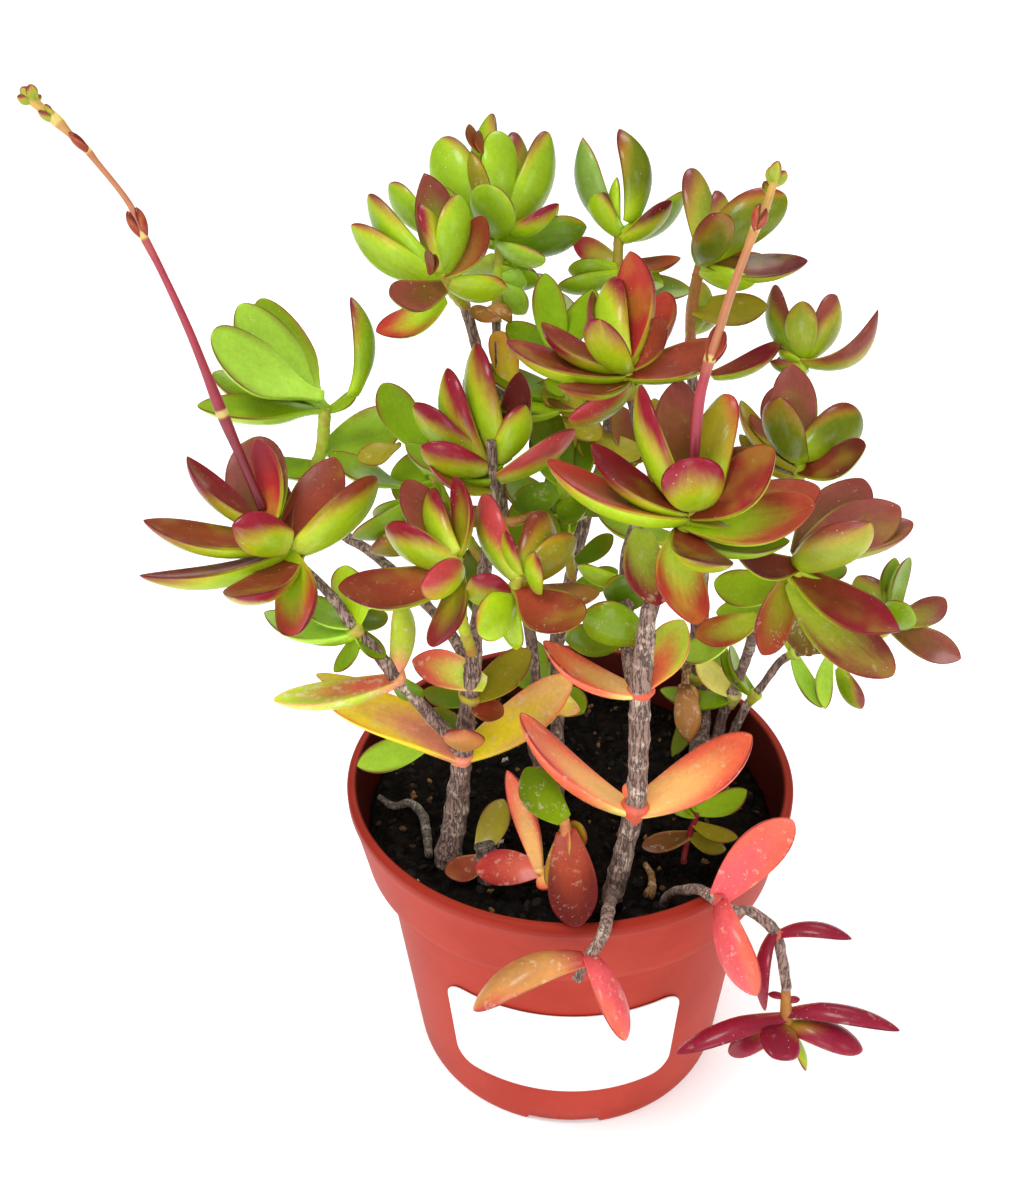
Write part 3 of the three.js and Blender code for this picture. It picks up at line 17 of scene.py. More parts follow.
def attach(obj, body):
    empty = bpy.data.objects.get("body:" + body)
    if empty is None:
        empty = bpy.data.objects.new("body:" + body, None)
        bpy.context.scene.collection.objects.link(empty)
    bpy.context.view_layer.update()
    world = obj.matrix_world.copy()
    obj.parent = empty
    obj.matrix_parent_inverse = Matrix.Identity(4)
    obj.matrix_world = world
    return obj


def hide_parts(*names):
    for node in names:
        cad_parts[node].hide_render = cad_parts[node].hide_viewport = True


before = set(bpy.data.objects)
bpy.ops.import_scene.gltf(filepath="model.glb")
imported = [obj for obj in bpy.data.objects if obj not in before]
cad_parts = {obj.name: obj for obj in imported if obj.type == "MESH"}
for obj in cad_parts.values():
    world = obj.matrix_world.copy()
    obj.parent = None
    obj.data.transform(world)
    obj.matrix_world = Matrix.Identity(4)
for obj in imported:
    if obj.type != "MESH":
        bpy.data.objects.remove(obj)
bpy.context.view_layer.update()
MM = 0.001

# %% [markdown]
# ## The eye
# The camera stands where the photograph was taken from: a little above the plant and close to it.
# A camera could be tuned by hand until the pot lines up. Here the eye's place and angles come
# first and the camera is built on them, because the same eye also places the leaves: each one is
# written down as the pixel where its tip shows.

# %% The eye of the photograph
EYE = np.array([0.0, -219.0, 255.0])
EYE_PITCH, EYE_YAW, EYE_ROLL = np.radians([30.2, -3.3, -1.3])
FOCAL_PIXELS = 1150.0
PHOTO_WIDTH, PHOTO_HEIGHT = 1024, 1189


def unit(vector):
    return vector / np.linalg.norm(vector)


FORWARD = np.array([
    math.sin(EYE_YAW) * math.cos(EYE_PITCH),
    math.cos(EYE_YAW) * math.cos(EYE_PITCH),
    -math.sin(EYE_PITCH),
])
LEVEL = unit(np.cross(FORWARD, [0, 0, 1]))
ABOVE = np.cross(LEVEL, FORWARD)
ACROSS = LEVEL * math.cos(EYE_ROLL) + ABOVE * math.sin(EYE_ROLL)
UPWARD = ABOVE * math.cos(EYE_ROLL) - LEVEL * math.sin(EYE_ROLL)


def turned_to(right, up, back, place):
    """The matrix of a camera or lamp that looks along minus back."""
    rows = np.column_stack([right, up, back, place])
    return Matrix([*rows.tolist(), [0, 0, 0, 1]])


# %% The camera
SENSOR = 36.0
lens = bpy.data.cameras.new("eye")
lens.sensor_fit = "AUTO"
lens.sensor_width = SENSOR
lens.lens = SENSOR * FOCAL_PIXELS / PHOTO_HEIGHT
lens.clip_start, lens.clip_end = 0.01, 20
camera = bpy.data.objects.new("eye", lens)
camera.matrix_world = turned_to(ACROSS, UPWARD, -FORWARD, EYE * MM)
bpy.context.scene.collection.objects.link(camera)
bpy.context.scene.camera = camera
print("lens", round(lens.lens, 2), "mm, eye at", EYE, "mm")


# %% Places by sight, in millimetres
def sight(px, py):
    """The line of sight through a pixel, with a forward part of one."""
    right, down = (px - PHOTO_WIDTH / 2) / FOCAL_PIXELS, (py - PHOTO_HEIGHT / 2) / FOCAL_PIXELS
    return FORWARD + ACROSS * right - UPWARD * down


def seen(pixel):
    """The point on a pixel's line of sight at a depth, its y."""
    ray = sight(pixel[0], pixel[1])
    return EYE + ray * (pixel[2] - EYE[1]) / ray[1]


def seen_at_height(pixel, height):
    """The point on a pixel's line of sight at a height, its z."""
    ray = sight(*pixel)
    return EYE + ray * (height - EYE[2]) / ray[2]


def pixels_per_mm(point):
    """How large a millimetre at a point looks from the eye."""
    return FOCAL_PIXELS / np.dot(point - EYE, FORWARD)


print("a millimetre at the pot's foot is", round(pixels_per_mm(np.zeros(3)), 2), "pixels wide")


# %% [markdown]
# ## Finishes
# Every finish is a small sum: a base colour, something that varies over the surface, and the
# places where the two meet. Wiring that by hand takes a screen full of nodes. A socket that knows
# plus, minus and times lets each finish be written as the sum that it is.

# %% Sockets that can be added and multiplied
class Wire:
    """An output socket of a finish, on which ordinary arithmetic works."""

    def __init__(self, finish, socket):
        self.finish, self.socket = finish, socket

    def _sum(self, operation, first, second):
        return self.finish.node("ShaderNodeMath", {"operation": operation}, {0: first, 1: second})

    def __add__(self, other):
        return self._sum("ADD", self, other)

    def __radd__(self, other):
        return self._sum("ADD", other, self)

    def __sub__(self, other):
        return self._sum("SUBTRACT", self, other)

    def __rsub__(self, other):
        return self._sum("SUBTRACT", other, self)

    def __mul__(self, other):
        return self._sum("MULTIPLY", self, other)

    def __rmul__(self, other):
        return self._sum("MULTIPLY", other, self)

    def __abs__(self):
        return self._sum("ABSOLUTE", self, 0)


# %% A finish and its nodes
def rgb(red, green, blue):
    """A colour as seen, 0 to 255, turned into the light values that shaders use."""
    share = np.array([red, green, blue]) / 255
    light = np.where(share <= 0.04045, share / 12.92, ((share + 0.055) / 1.055) ** 2.4)
    return (*light, 1.0)


class Finish:
    """A material with a Principled shader. The settings that never vary go straight on it."""

    def __init__(self, name, **settings):
        self.material = bpy.data.materials.new(name)
        self.material.use_nodes = True
        self.tree = self.material.node_tree
        self.shader = self.tree.nodes["Principled BSDF"]
        for socket, value in settings.items():
            self.shader.inputs[socket.replace("_", " ")].default_value = value

    def node(self, kind, settings, inputs, output=0):
        """Any node: its settings first, then the values or wires of its sockets."""
        node = self.tree.nodes.new(kind)
        for name, value in settings.items():
            if name == "stops":
                while len(node.color_ramp.elements) < len(value):
                    node.color_ramp.elements.new(0.5)
                for stop, (place, colour) in zip(node.color_ramp.elements, value):
                    stop.position, stop.color = place, colour
            else:
                setattr(node, name, value)
        for socket, value in inputs.items():
            self.join(value, node.inputs[socket])
        return Wire(self, node.outputs[output])

    def join(self, value, socket):
        if isinstance(value, Wire):
            self.tree.links.new(value.socket, socket)
        else:
            socket.default_value = value

    def paint(self, **inputs):
        """Wires to the shader's own sockets."""
        for socket, value in inputs.items():
            self.join(value, self.shader.inputs[socket.replace("_", " ")])
        print("finish", self.material.name, "with", len(self.tree.nodes), "nodes")
        return self.material

    def place(self):
        return self.node("ShaderNodeTexCoord", {}, {}, "Object")

    def carried(self, name, output="Fac"):
        """A value or colour that the mesh carries on its points."""
        return self.node("ShaderNodeAttribute", {"attribute_name": name}, {}, output)

    def noise(self, scale, detail=2.0, roughness=0.5, where=None):
        inputs = {"Vector": where or self.place(), "Scale": scale, "Detail": detail,
                  "Roughness": roughness}
        return self.node("ShaderNodeTexNoise", {}, inputs, "Fac")

    def spots(self, scale, where=None):
        """The distance to the nearest of many scattered points."""
        return self.node("ShaderNodeTexVoronoi", {}, {"Vector": where or self.place(),
                                                      "Scale": scale}, "Distance")

    def rise(self, value, start, end):
        """0 before start, 1 after end and a soft step between them."""
        return self.node("ShaderNodeMapRange", {"interpolation_type": "SMOOTHSTEP"},
                         {"Value": value, "From Min": start, "From Max": end})

    def tint(self, amount, first, second):
        """From the first colour to the second, by an amount from 0 to 1."""
        return self.node("ShaderNodeMix", {"data_type": "RGBA"},
                         {0: amount, 6: first, 7: second}, 2)

    def shade(self, colour, amount):
        """A colour made lighter or darker by an amount that may vary."""
        return self.node("ShaderNodeVectorMath", {"operation": "SCALE"},
                         {0: colour, "Scale": amount})

    def stretched(self, x, y, z):
        return self.node("ShaderNodeMapping", {}, {"Vector": self.place(), "Scale": (x, y, z)})

    def bumps(self, height, depth, strength=1.0):
        return self.node("ShaderNodeBump", {}, {"Height": height, "Distance": depth,
                                                "Strength": strength})


# %% [markdown]
# ## The flesh of a leaf
# A crassula leaf is a water bag in a waxy skin. Its underside stays lime near the stem and blushes
# toward the tip and the margins, its upper face is duller and browner, and its margin is drawn with
# a fine dark line. One material can hold all of that if each leaf carries its own few colours and
# its own chart: how far along, how far across, and upper face or underside. Painting each leaf by
# hand would look the same but could not be changed in one place.

# %% The leaf material
COLOURS = ("low", "far", "tip", "face_low", "face_tip", "rim")
# PAINTED_GLOW_BAND is painted light: the warm orange glow of light shining through the flesh.
PAINTED_GLOW_BAND, CRUST, DUST = rgb(222, 136, 50), rgb(244, 222, 190), rgb(246, 232, 216)


def leaf_finish():
    skin = Finish("leaf_flesh", Coat_Roughness=0.15, Specular_IOR_Level=0.2,
                  Subsurface_Weight=0.12, Subsurface_Scale=0.003)
    skin.shader.inputs["Subsurface Radius"].default_value = (1.0, 0.6, 0.25)
    along, across, inward = (skin.carried(name) for name in ("along", "across", "inward"))
    upper, age = skin.rise(skin.carried("upper"), 0.3, 0.7), skin.carried("age")
    # Three noises break up every edge of colour: broad clouds, fine mottle and streaks that run
    # along the leaf. The seed moves the streaks, so that no two leaves have the same ones.
    cloud = skin.noise(240, 3) - 0.5
    mottle = skin.noise(1100, 2) - 0.5
    spread = {0: across * 2.6, 1: along, 2: skin.carried("seed")}
    chart = skin.node("ShaderNodeCombineXYZ", {}, spread)
    streak = skin.noise(2.4, 3, 0.6, chart) - 0.5
    # The underside goes from its low colour to its far one. It blushes toward the tip, the margins
    # and the sunny side, with a warm band where the blush begins: painted light, the glow of light
    # shining through the flesh.
    reach = along + cloud * 0.2
    low, far, tip = (skin.carried(name, "Color") for name in COLOURS[:3])
    under = skin.tint(skin.rise(reach, 0.0, 0.34), low, far)
    edge = across * across
    sunny = across * skin.carried("sun")
    redness = reach * 0.62 + edge * 0.22 + sunny * 0.3 + streak * 0.16 - skin.carried("blush")
    under = skin.shade(under, 0.86 + edge * 0.2)
    under = skin.tint(skin.rise(redness, -0.2, 0.0) * 0.26, under, PAINTED_GLOW_BAND)
    under = skin.tint(skin.rise(redness, -0.12, 0.2), under, tip)
    # The upper face has its own two colours. It flushes at the margins and keeps a few patches, and
    # near the foot a painted highlight: a lit line of the underside's colour along the margin.
    ripe = reach * 0.85 + edge * 0.4 + streak * 0.24
    face = skin.tint(skin.rise(ripe, 0.26, 0.82), skin.carried("face_low", "Color"),
                     skin.carried("face_tip", "Color"))
    flush = skin.rise(edge, 0.35, 0.95) * skin.rise(along, 0.2, 0.8) * 0.5
    face = skin.tint(flush, face, tip)
    patch = skin.noise(95, 2) - 0.5
    face = skin.tint(skin.rise(patch, 0.0, 0.22) * 0.2, face, far)
    # Painted highlight: a bright rim in the underside's colour along the margin near the foot.
    painted_rim_light = (1 - skin.rise(inward, 0.2, 0.6)) * (1 - skin.rise(along, 0.4, 0.85)) * 0.4
    face = skin.tint(painted_rim_light, face, far)
    # Both faces meet at the margin, under a fine dark line that fades toward the foot.
    colour = skin.tint(upper, under, face)
    rim = (1 - skin.rise(inward, 0.12, 0.5)) * skin.rise(along, 0.3, 0.75)
    colour = skin.tint(rim * 0.8, colour, skin.carried("rim", "Color"))
    colour = skin.shade(colour, 0.94 + patch * 0.4 + cloud * 0.3 + mottle * 0.3 + streak * 0.16)
    # Old leaves are crusted, and most carry a few flecks of pale dust.
    crust = skin.rise(skin.noise(420, 5, 0.7) + age * 0.12, 0.62, 0.7) * age
    colour = skin.tint(crust * 0.55, colour, CRUST)
    dust = skin.rise(skin.noise(130, 3) + age * 0.15, 0.54, 0.68)
    fleck = (1 - skin.rise(skin.spots(900), 0.05, 0.14)) * dust
    colour = skin.tint(fleck * 0.65, colour, DUST)
    return skin.paint(
        Base_Color=colour,
        Roughness=0.42 + mottle * 0.2 + crust * 0.35,
        Coat_Weight=0.3 - crust * 0.3 + cloud * 0.3 - upper * 0.08,
        Normal=skin.bumps(mottle * 0.3 + cloud + fleck * 0.3 + crust * 0.7, 0.0003, 0.6),
    )


LEAF_FLESH = leaf_finish()

# %% [markdown]
# The colours come from looking at the plant leaf by leaf. Each kind of leaf gets the colours of its
# underside near the stem, farther out and at the tip, of its upper face near the stem and at the
# tip, and of its margin. The last two numbers say where the blush starts and how weathered it is.

# %% The kinds of leaf
LIME, PALE_LIME, LEAF_GREEN = rgb(164, 194, 20), rgb(196, 210, 66), rgb(128, 160, 8)
SHADE_GREEN, DULL_GREEN, MOSS = rgb(96, 128, 6), rgb(142, 134, 28), rgb(108, 122, 4)
YELLOW, PALE_YELLOW, GOLD = rgb(255, 228, 44), rgb(244, 230, 120), rgb(228, 164, 40)
ORANGE, CORAL, ROSE = rgb(238, 128, 54), rgb(246, 110, 78), rgb(184, 62, 62)
RED, CRIMSON, WINE = rgb(176, 50, 42), rgb(136, 22, 40), rgb(98, 10, 32)
BRICK, RED_BROWN, BROWN = rgb(156, 62, 40), rgb(128, 52, 28), rgb(112, 72, 26)
MAUVE, MAROON, OLIVE = rgb(132, 62, 50), rgb(100, 30, 30), rgb(148, 136, 20)
PEACH, FRESH, PINK = rgb(248, 190, 112), rgb(166, 206, 60), rgb(248, 152, 120)
PLUM, CREAM, SAGE = rgb(140, 26, 50), rgb(240, 208, 146), rgb(152, 166, 44)
GREY_GREEN, FRESH_GREEN = rgb(124, 156, 62), rgb(150, 184, 24)
HAZEL, BLUSH = rgb(152, 104, 42), rgb(228, 88, 92)
TAN, DARK_TAN, RUST = rgb(204, 142, 78), rgb(122, 70, 32), rgb(214, 92, 70)

KINDS = {
    "crimsoncap": (PALE_LIME, LIME, CRIMSON, LIME, CRIMSON, WINE, 0.6, 0.05),
    "rosecap": (PALE_LIME, LIME, ROSE, DULL_GREEN, BRICK, WINE, 0.44, 0.2),
    "browncap": (PALE_LIME, LIME, RED_BROWN, DULL_GREEN, RED_BROWN, MAROON, 0.6, 0.05),
    "olivecap": (LIME, OLIVE, RED_BROWN, OLIVE, BROWN, WINE, 0.56, 0.15),
    "mauvecap": (LIME, SAGE, MAUVE, DULL_GREEN, MAUVE, MAROON, 0.62, 0.0),
    "halfcap": (PALE_LIME, LIME, CRIMSON, LIME, CRIMSON, WINE, 0.42, 0.1),
    "topcap": (LIME, FRESH_GREEN, MAUVE, LIME, LEAF_GREEN, WINE, 0.88, 0.0),
    "oliveface": (LIME, LIME, CRIMSON, HAZEL, RED_BROWN, WINE, 0.6, 0.15),
    "duskgreen": (LIME, LEAF_GREEN, MAUVE, LEAF_GREEN, MAUVE, MAROON, 0.6, 0.0),
    "limecap": (PALE_LIME, LIME, BRICK, LIME, LIME, MAROON, 0.92, 0.0),
    "duskcap": (LIME, SAGE, MAUVE, DULL_GREEN, MAUVE, MAROON, 0.46, 0.0),
    "mosscap": (LIME, MOSS, RED_BROWN, MOSS, BROWN, WINE, 0.66, 0.0),
    "greygreen": (FRESH, GREY_GREEN, MAUVE, GREY_GREEN, GREY_GREEN, MAUVE, 0.98, 0.0),
    "scarred": (LIME, PALE_LIME, PLUM, PALE_LIME, PLUM, CRIMSON, 0.5, 0.5),
    "tanred": (LIME, TAN, BRICK, DULL_GREEN, BRICK, CRIMSON, 0.5, 0.4),
    "stripe": (LIME, LIME, MAROON, LIME, LEAF_GREEN, MAROON, 0.5, 0.0),
    "redface": (LIME, LIME, CRIMSON, RED, RED, WINE, 0.5, 0.1),
    "crimsonface": (LIME, LIME, CRIMSON, RED_BROWN, CRIMSON, WINE, 0.55, 0.15),
    "brickface": (LIME, LIME, CRIMSON, BRICK, RED_BROWN, WINE, 0.6, 0.15),
    "orangeface": (LIME, LIME, RED, HAZEL, RED, CRIMSON, 0.65, 0.15),
    "duskface": (LIME, LEAF_GREEN, MAUVE, BROWN, MAUVE, MAROON, 0.6, 0.1),
    "maroonface": (LIME, LIME, MAROON, RED_BROWN, MAROON, WINE, 0.66, 0.1),
    "roseface": (LIME, LIME, MAUVE, DULL_GREEN, BRICK, WINE, 0.6, 0.1),
    "edgered": (LIME, LIME, CRIMSON, OLIVE, CRIMSON, CRIMSON, 0.5, 0.05),
    "limetongue": (LIME, LIME, RED, PALE_LIME, RED, CRIMSON, 0.55, 0.2),
    "rosetongue": (LIME, LIME, MAROON, PALE_LIME, MAUVE, CRIMSON, 0.55, 0.3),
    "limeband": (PINK, LIME, BRICK, LIME, BRICK, BRICK, 0.6, 0.05),
    "oldrose": (LIME, LEAF_GREEN, BRICK, MAUVE, BRICK, MAROON, 0.6, 0.1),
    "budbrown": (OLIVE, BROWN, MAROON, RED_BROWN, BROWN, MAROON, 0.5, 0.0),
    "coral": (PALE_YELLOW, CORAL, RED, PEACH, CORAL, CRIMSON, 0.8, 0.45),
    "redlime": (PALE_LIME, LIME, CRIMSON, RED_BROWN, CRIMSON, WINE, 0.62, 0.1),
    "mauve": (DULL_GREEN, MAUVE, MAROON, RED_BROWN, MAUVE, WINE, 0.6, 0.1),
    "greenred": (LIME, LEAF_GREEN, CRIMSON, LEAF_GREEN, RED_BROWN, WINE, 0.68, 0.0),
    "maroon": (OLIVE, MAROON, WINE, MAROON, MAROON, WINE, 0.4, 0.15),
    "olivered": (LIME, OLIVE, RED, OLIVE, BRICK, CRIMSON, 0.72, 0.05),
    "limered": (LIME, LIME, CRIMSON, LIME, RED, WINE, 0.68, 0.0),
    "green": (LIME, LEAF_GREEN, RED_BROWN, LEAF_GREEN, LEAF_GREEN, MAROON, 1.0, 0.0),
    "lime": (PALE_LIME, LIME, BRICK, LIME, LEAF_GREEN, MAROON, 1.12, 0.0),
    "leafgreen": (LIME, LEAF_GREEN, BRICK, LEAF_GREEN, LEAF_GREEN, MAROON, 1.1, 0.0),
    # The shade kind is painted shade: darker greens for leaves deep in the bush, out of the light.
    "shade": (LEAF_GREEN, SHADE_GREEN, MOSS, SHADE_GREEN, MOSS, BROWN, 1.0, 0.0),
    "olive": (DULL_GREEN, OLIVE, RED_BROWN, OLIVE, OLIVE, BROWN, 0.85, 0.3),
    "orangebrown": (GOLD, TAN, BRICK, BRICK, RED_BROWN, MAROON, 0.55, 0.3),
    "mauvegreen": (LEAF_GREEN, LEAF_GREEN, MAUVE, MAUVE, MAUVE, MAROON, 0.62, 0.0),
    "mauvebrown": (DULL_GREEN, BROWN, MAUVE, RED_BROWN, MAUVE, MAROON, 0.6, 0.1),
    "speckled": (DULL_GREEN, LEAF_GREEN, OLIVE, LEAF_GREEN, SHADE_GREEN, BROWN, 1.0, 0.4),
    "limeorange": (RUST, CORAL, PALE_LIME, CORAL, PALE_LIME, RUST, 0.5, 0.4),
    "redtongue": (LIME, LIME, RED, RED, CRIMSON, CRIMSON, 0.6, 0.0),
    "damaged": (OLIVE, OLIVE, BROWN, OLIVE, BROWN, BROWN, 0.8, 0.8),
    "yellow": (PINK, YELLOW, GOLD, PINK, YELLOW, ORANGE, 1.0, 0.45),
    "yelloworange": (YELLOW, YELLOW, CORAL, YELLOW, PEACH, CORAL, 0.85, 0.5),
    "pinkyellow": (PALE_LIME, PALE_YELLOW, RUST, PALE_LIME, RUST, RED, 0.5, 0.6),
    "paleyellow": (CREAM, PALE_YELLOW, GOLD, PALE_YELLOW, PALE_YELLOW, GOLD, 1.0, 0.3),
    "crimsonred": (PINK, RUST, CRIMSON, RUST, RED, CRIMSON, 0.7, 0.45),
    "darkgreen": (LIME, LEAF_GREEN, SHADE_GREEN, LEAF_GREEN, SHADE_GREEN, BROWN, 1.0, 0.6),
    "purplered": (PINK, BRICK, MAROON, BRICK, MAROON, WINE, 0.6, 0.25),
    "oldbrown": (CREAM, TAN, DARK_TAN, BROWN, DARK_TAN, DARK_TAN, 0.6, 0.6),
    "olivepink": (ROSE, TAN, ROSE, ROSE, OLIVE, CRIMSON, 0.7, 0.4),
    "pinkred": (ROSE, BLUSH, RUST, BLUSH, RUST, CRIMSON, 0.7, 0.45),
    "crimson": (ROSE, PLUM, PLUM, PLUM, WINE, WINE, 0.1, 0.25),
    "crimsonolive": (OLIVE, OLIVE, PLUM, OLIVE, PLUM, WINE, 0.16, 0.1),
    "dried": (DARK_TAN, TAN, DARK_TAN, TAN, HAZEL, DARK_TAN, 0.6, 0.6),
    "oldlime": (PINK, PALE_LIME, YELLOW, CORAL, PALE_LIME, PINK, 1.0, 0.7),
    "amber": (YELLOW, GOLD, ORANGE, YELLOW, GOLD, DARK_TAN, 0.9, 0.5),
    "palelime": (FRESH, FRESH, MAROON, FRESH, FRESH, MAROON, 0.88, 0.0),
    "edgelime": (FRESH, FRESH, BRICK, LEAF_GREEN, LEAF_GREEN, WINE, 1.05, 0.0),
    "bract": (BRICK, BRICK, MAROON, RED_BROWN, MAROON, MAROON, 0.5, 0.0),
    "bud": (PALE_LIME, SAGE, MAUVE, SAGE, BROWN, MAROON, 0.58, 0.0),
}
print(len(KINDS), "kinds of leaf")

# %% [markdown]
# ## Meshes
# A piece of the plant is a bundle of skins: rings of points with faces between them. Modelling
# each leaf from a cube by hand gives the same skins, but rings of numbers can be made a thousand
# at a time and stay clean for smooth shading.

# %% A bundle of skins
class Skins:
    """Points and faces of one piece, with the values that its points carry."""

    def __init__(self):
        self.points, self.faces, self.marks, self.used, self.count = [], [], [], [], 0

    def add(self, rings, tip=None, start=None, marks=None, finish=0):
        """A closed skin over rings of points, drawn to a tip point and from a start point."""
        rows, sides = rings.shape[:2]
        step = np.arange(sides)
        after = (step + 1) % sides
        first = self.count
        points, faces = [rings.reshape(-1, 3)], []
        for row in range(rows - 1):
            low, high = first + row * sides, first + (row + 1) * sides
            faces += zip(low + step, low + after, high + after, high + step)
        total = rows * sides
        start = rings[0].mean(0) if start is None else start
        tip = rings[-1].mean(0) if tip is None else tip
        points += [start[None], tip[None]]
        last = first + (rows - 1) * sides
        faces += zip([first + total] * sides, first + after, first + step)
        faces += zip([first + total + 1] * sides, last + step, last + after)
        self.points += points
        self.faces += faces
        self.used += [finish] * len(faces)
        self.count += total + 2
        self.marks.append((total + 2, marks or {}))

    def piece(self, name, finishes, node, crisp=False):
        """The mesh object, hung on the root body, which stands for its CAD node and hides it."""
        mesh = bpy.data.meshes.new(name)
        points = np.concatenate(self.points) * MM
        mesh.from_pydata(points.tolist(), [], [tuple(map(int, face)) for face in self.faces])
        for finish in finishes:
            mesh.materials.append(finish)
        mesh.polygons.foreach_set("material_index", self.used)
        mesh.polygons.foreach_set("use_smooth", [not crisp] * len(mesh.polygons))
        names = {key for _, marks in self.marks for key in marks}
        for key in sorted(names):
            coloured = key in COLOURS or key == "tone"
            rows = [
                np.broadcast_to(np.asarray(marks.get(key, (0, 0, 0, 1) if coloured else 0.0)),
                                (size, 4) if coloured else (size,))
                for size, marks in self.marks
            ]
            kind, field = ("FLOAT_COLOR", "color") if coloured else ("FLOAT", "value")
            mesh.attributes.new(key, kind, "POINT").data.foreach_set(
                field, np.concatenate(rows).astype(np.float32).ravel())
        thing = bpy.data.objects.new(name, mesh)
        bpy.context.scene.collection.objects.link(thing)
        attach(thing, "root")
        if node:
            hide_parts(node)
        print(name, len(mesh.polygons), "faces")
        return thing


# %% [markdown]
# ## A leaf
# Seen from above a leaf is a spoon: narrow where it clasps the stem, widest past the middle and
# drawn to a blunt point. Cut across, it is flat or a little hollow above and full below, and its
# margin is thin. It also bows, so that the tip turns back up to the light.

# %% The outline and section of a leaf
STATIONS = np.array([0, .04, .09, .15, .22, .3, .38, .46, .54,
                     .62, .7, .77, .83, .885, .925, .955, .978, .993])
UPPER_TURNS = np.radians([0, 10, 24, 45, 70, 90, 110, 135, 156, 170, 180])
UNDER_TURNS = np.radians([192, 206, 222, 240, 256, 270, 284, 300, 318, 334, 348])
TURNS = np.concatenate([UPPER_TURNS, UNDER_TURNS])
WIDEST = 0.58
HOLLOW = 0.13
PLUMP = 0.125
BOW = 0.085
NECK, POINT, WAIST = 0.42, 0.68, 1.0
THINNEST, THICKEST = 0.7, 3.6
print("a leaf is", len(STATIONS), "rings of", len(TURNS), "points")


def outline(neck, point, waist):
    """Half widths along a leaf, as shares of its widest. A higher point gives a sharper tip."""
    rising = neck + (1 - neck) * np.sin(np.pi / 2 * np.minimum(STATIONS / WIDEST, 1)) ** waist
    past = np.clip((STATIONS - WIDEST) / (1 - WIDEST), 0, 1)
    return rising * (1 - past ** 2.15) ** point


def from_margin(rings):
    """How far each point is from the margin of its leaf, in millimetres over the skin."""
    gaps = np.linalg.norm(np.roll(rings, -1, axis=1) - rings, axis=2)
    there = np.cumsum(gaps, axis=1) - gaps
    half = len(UPPER_TURNS) - 1
    upper = np.minimum(there, abs(there[:, half:half + 1] - there))
    back = there[:, -1:] + gaps[:, -1:] - there
    under = np.minimum(there - there[:, half:half + 1], back)
    return np.where(np.arange(rings.shape[1]) <= half, upper, under)


# %% What the points of a leaf carry
SUN_VARIES, BLUSH_VARIES = 0.35, 0.06
GLOW, WARMTH = (0.9, 1.08), (0.97, 1.03)


def leaf_marks(kind, luck, rings, edge):
    """What the points of one leaf carry: its chart and its own few colours."""
    along = np.repeat(STATIONS, len(TURNS))
    across = np.tile(np.cos(TURNS), len(STATIONS))
    upper = np.tile((np.sin(TURNS) > -0.01).astype(float), len(STATIONS))
    *colours, blush, age = KINDS[kind]
    sun = np.clip(1.5 * edge[2] + luck.uniform(-SUN_VARIES, SUN_VARIES), -1, 1)
    marks = {"along": np.append(along, [0, 1]), "across": np.append(across, [0, 0]),
             "upper": np.append(upper, [0, 0.5]), "sun": sun,
             "inward": np.append(from_margin(rings).ravel(), [3, 0]),
             "blush": blush + luck.uniform(-BLUSH_VARIES, BLUSH_VARIES), "age": age,
             "seed": luck.uniform(0, 40)}
    glow, warm = luck.uniform(*GLOW), luck.uniform(*WARMTH)
    for name, (red, green, blue, _) in zip(COLOURS, colours):
        marks[name] = np.array([red * glow * warm, green * glow, blue * glow / warm, 1])
    return marks


# %% One leaf
POINT_VARIES, SWAY_VARIES = 0.08, 0.04
FOOT_TUCK, UPPER_FULLNESS = 0.4, 0.12


def add_leaf(skins, base, tip, face, width, kind, luck, bow=BOW, neck=NECK, point=POINT,
             waist=WAIST):
    """One leaf from its base to its tip, with its upper side toward face."""
    length = np.linalg.norm(tip - base)
    along = (tip - base) / length
    edge = np.cross(face, along)
    shares = outline(neck, point + luck.uniform(-POINT_VARIES, POINT_VARIES), waist)
    half = width / 2 * shares
    past = np.clip((STATIONS - WIDEST) / (1 - WIDEST), 0, 1)
    belly = 0.6 + 0.4 * np.sin(np.pi * STATIONS ** 0.75)
    full = plumpness(length) * belly * (1 - past ** 2.4) ** 0.55
    depth = np.minimum(full, 0.95 * half + 0.3)
    hang = bow * length * 4 * STATIONS * (1 - STATIONS)
    sway = luck.uniform(-SWAY_VARIES, SWAY_VARIES) * length * np.sin(np.pi * STATIONS)
    middle = (base + np.outer(STATIONS * length, along) - np.outer(hang, face)
              + np.outer(sway, edge))
    sideways, up = np.cos(TURNS), np.sin(TURNS)
    rise = (HOLLOW * np.outer(half, sideways ** 2)
            + np.outer(depth * UPPER_FULLNESS, np.maximum(up, 0))
            + np.outer(depth, np.minimum(up, 0)))
    rings = middle[:, None] + np.outer(half, sideways)[..., None] * edge + rise[..., None] * face
    skins.add(rings, tip=tip, start=middle[0] - along * FOOT_TUCK,
              marks=leaf_marks(kind, luck, rings, edge))


def plumpness(length):
    """How thick a leaf of a length is at its fullest."""
    return min(max(PLUMP * length, THINNEST), THICKEST)


# %% [markdown]
# Each leaf grows from the core of its shoot. Its tip lies on the line of sight through a pixel, at
# the leaf's real length from its base, nearer the eye or farther away by its lean. Its roll gives
# the width that shows. That fixes a leaf in space from a flat picture, and the rest of the plant
# stays true from the side as well.

# %% Smooth paths
def reach_along(path):
    """How far along a path each of its points is."""
    return np.append(0, np.cumsum(np.linalg.norm(np.diff(path[:, :3], axis=0), axis=1)))


def root_gap(first, second):
    """The square root of a gap, which keeps the curve from looping between uneven steps."""
    return max(np.linalg.norm(second[:3] - first[:3]) ** 0.5, 1e-4)


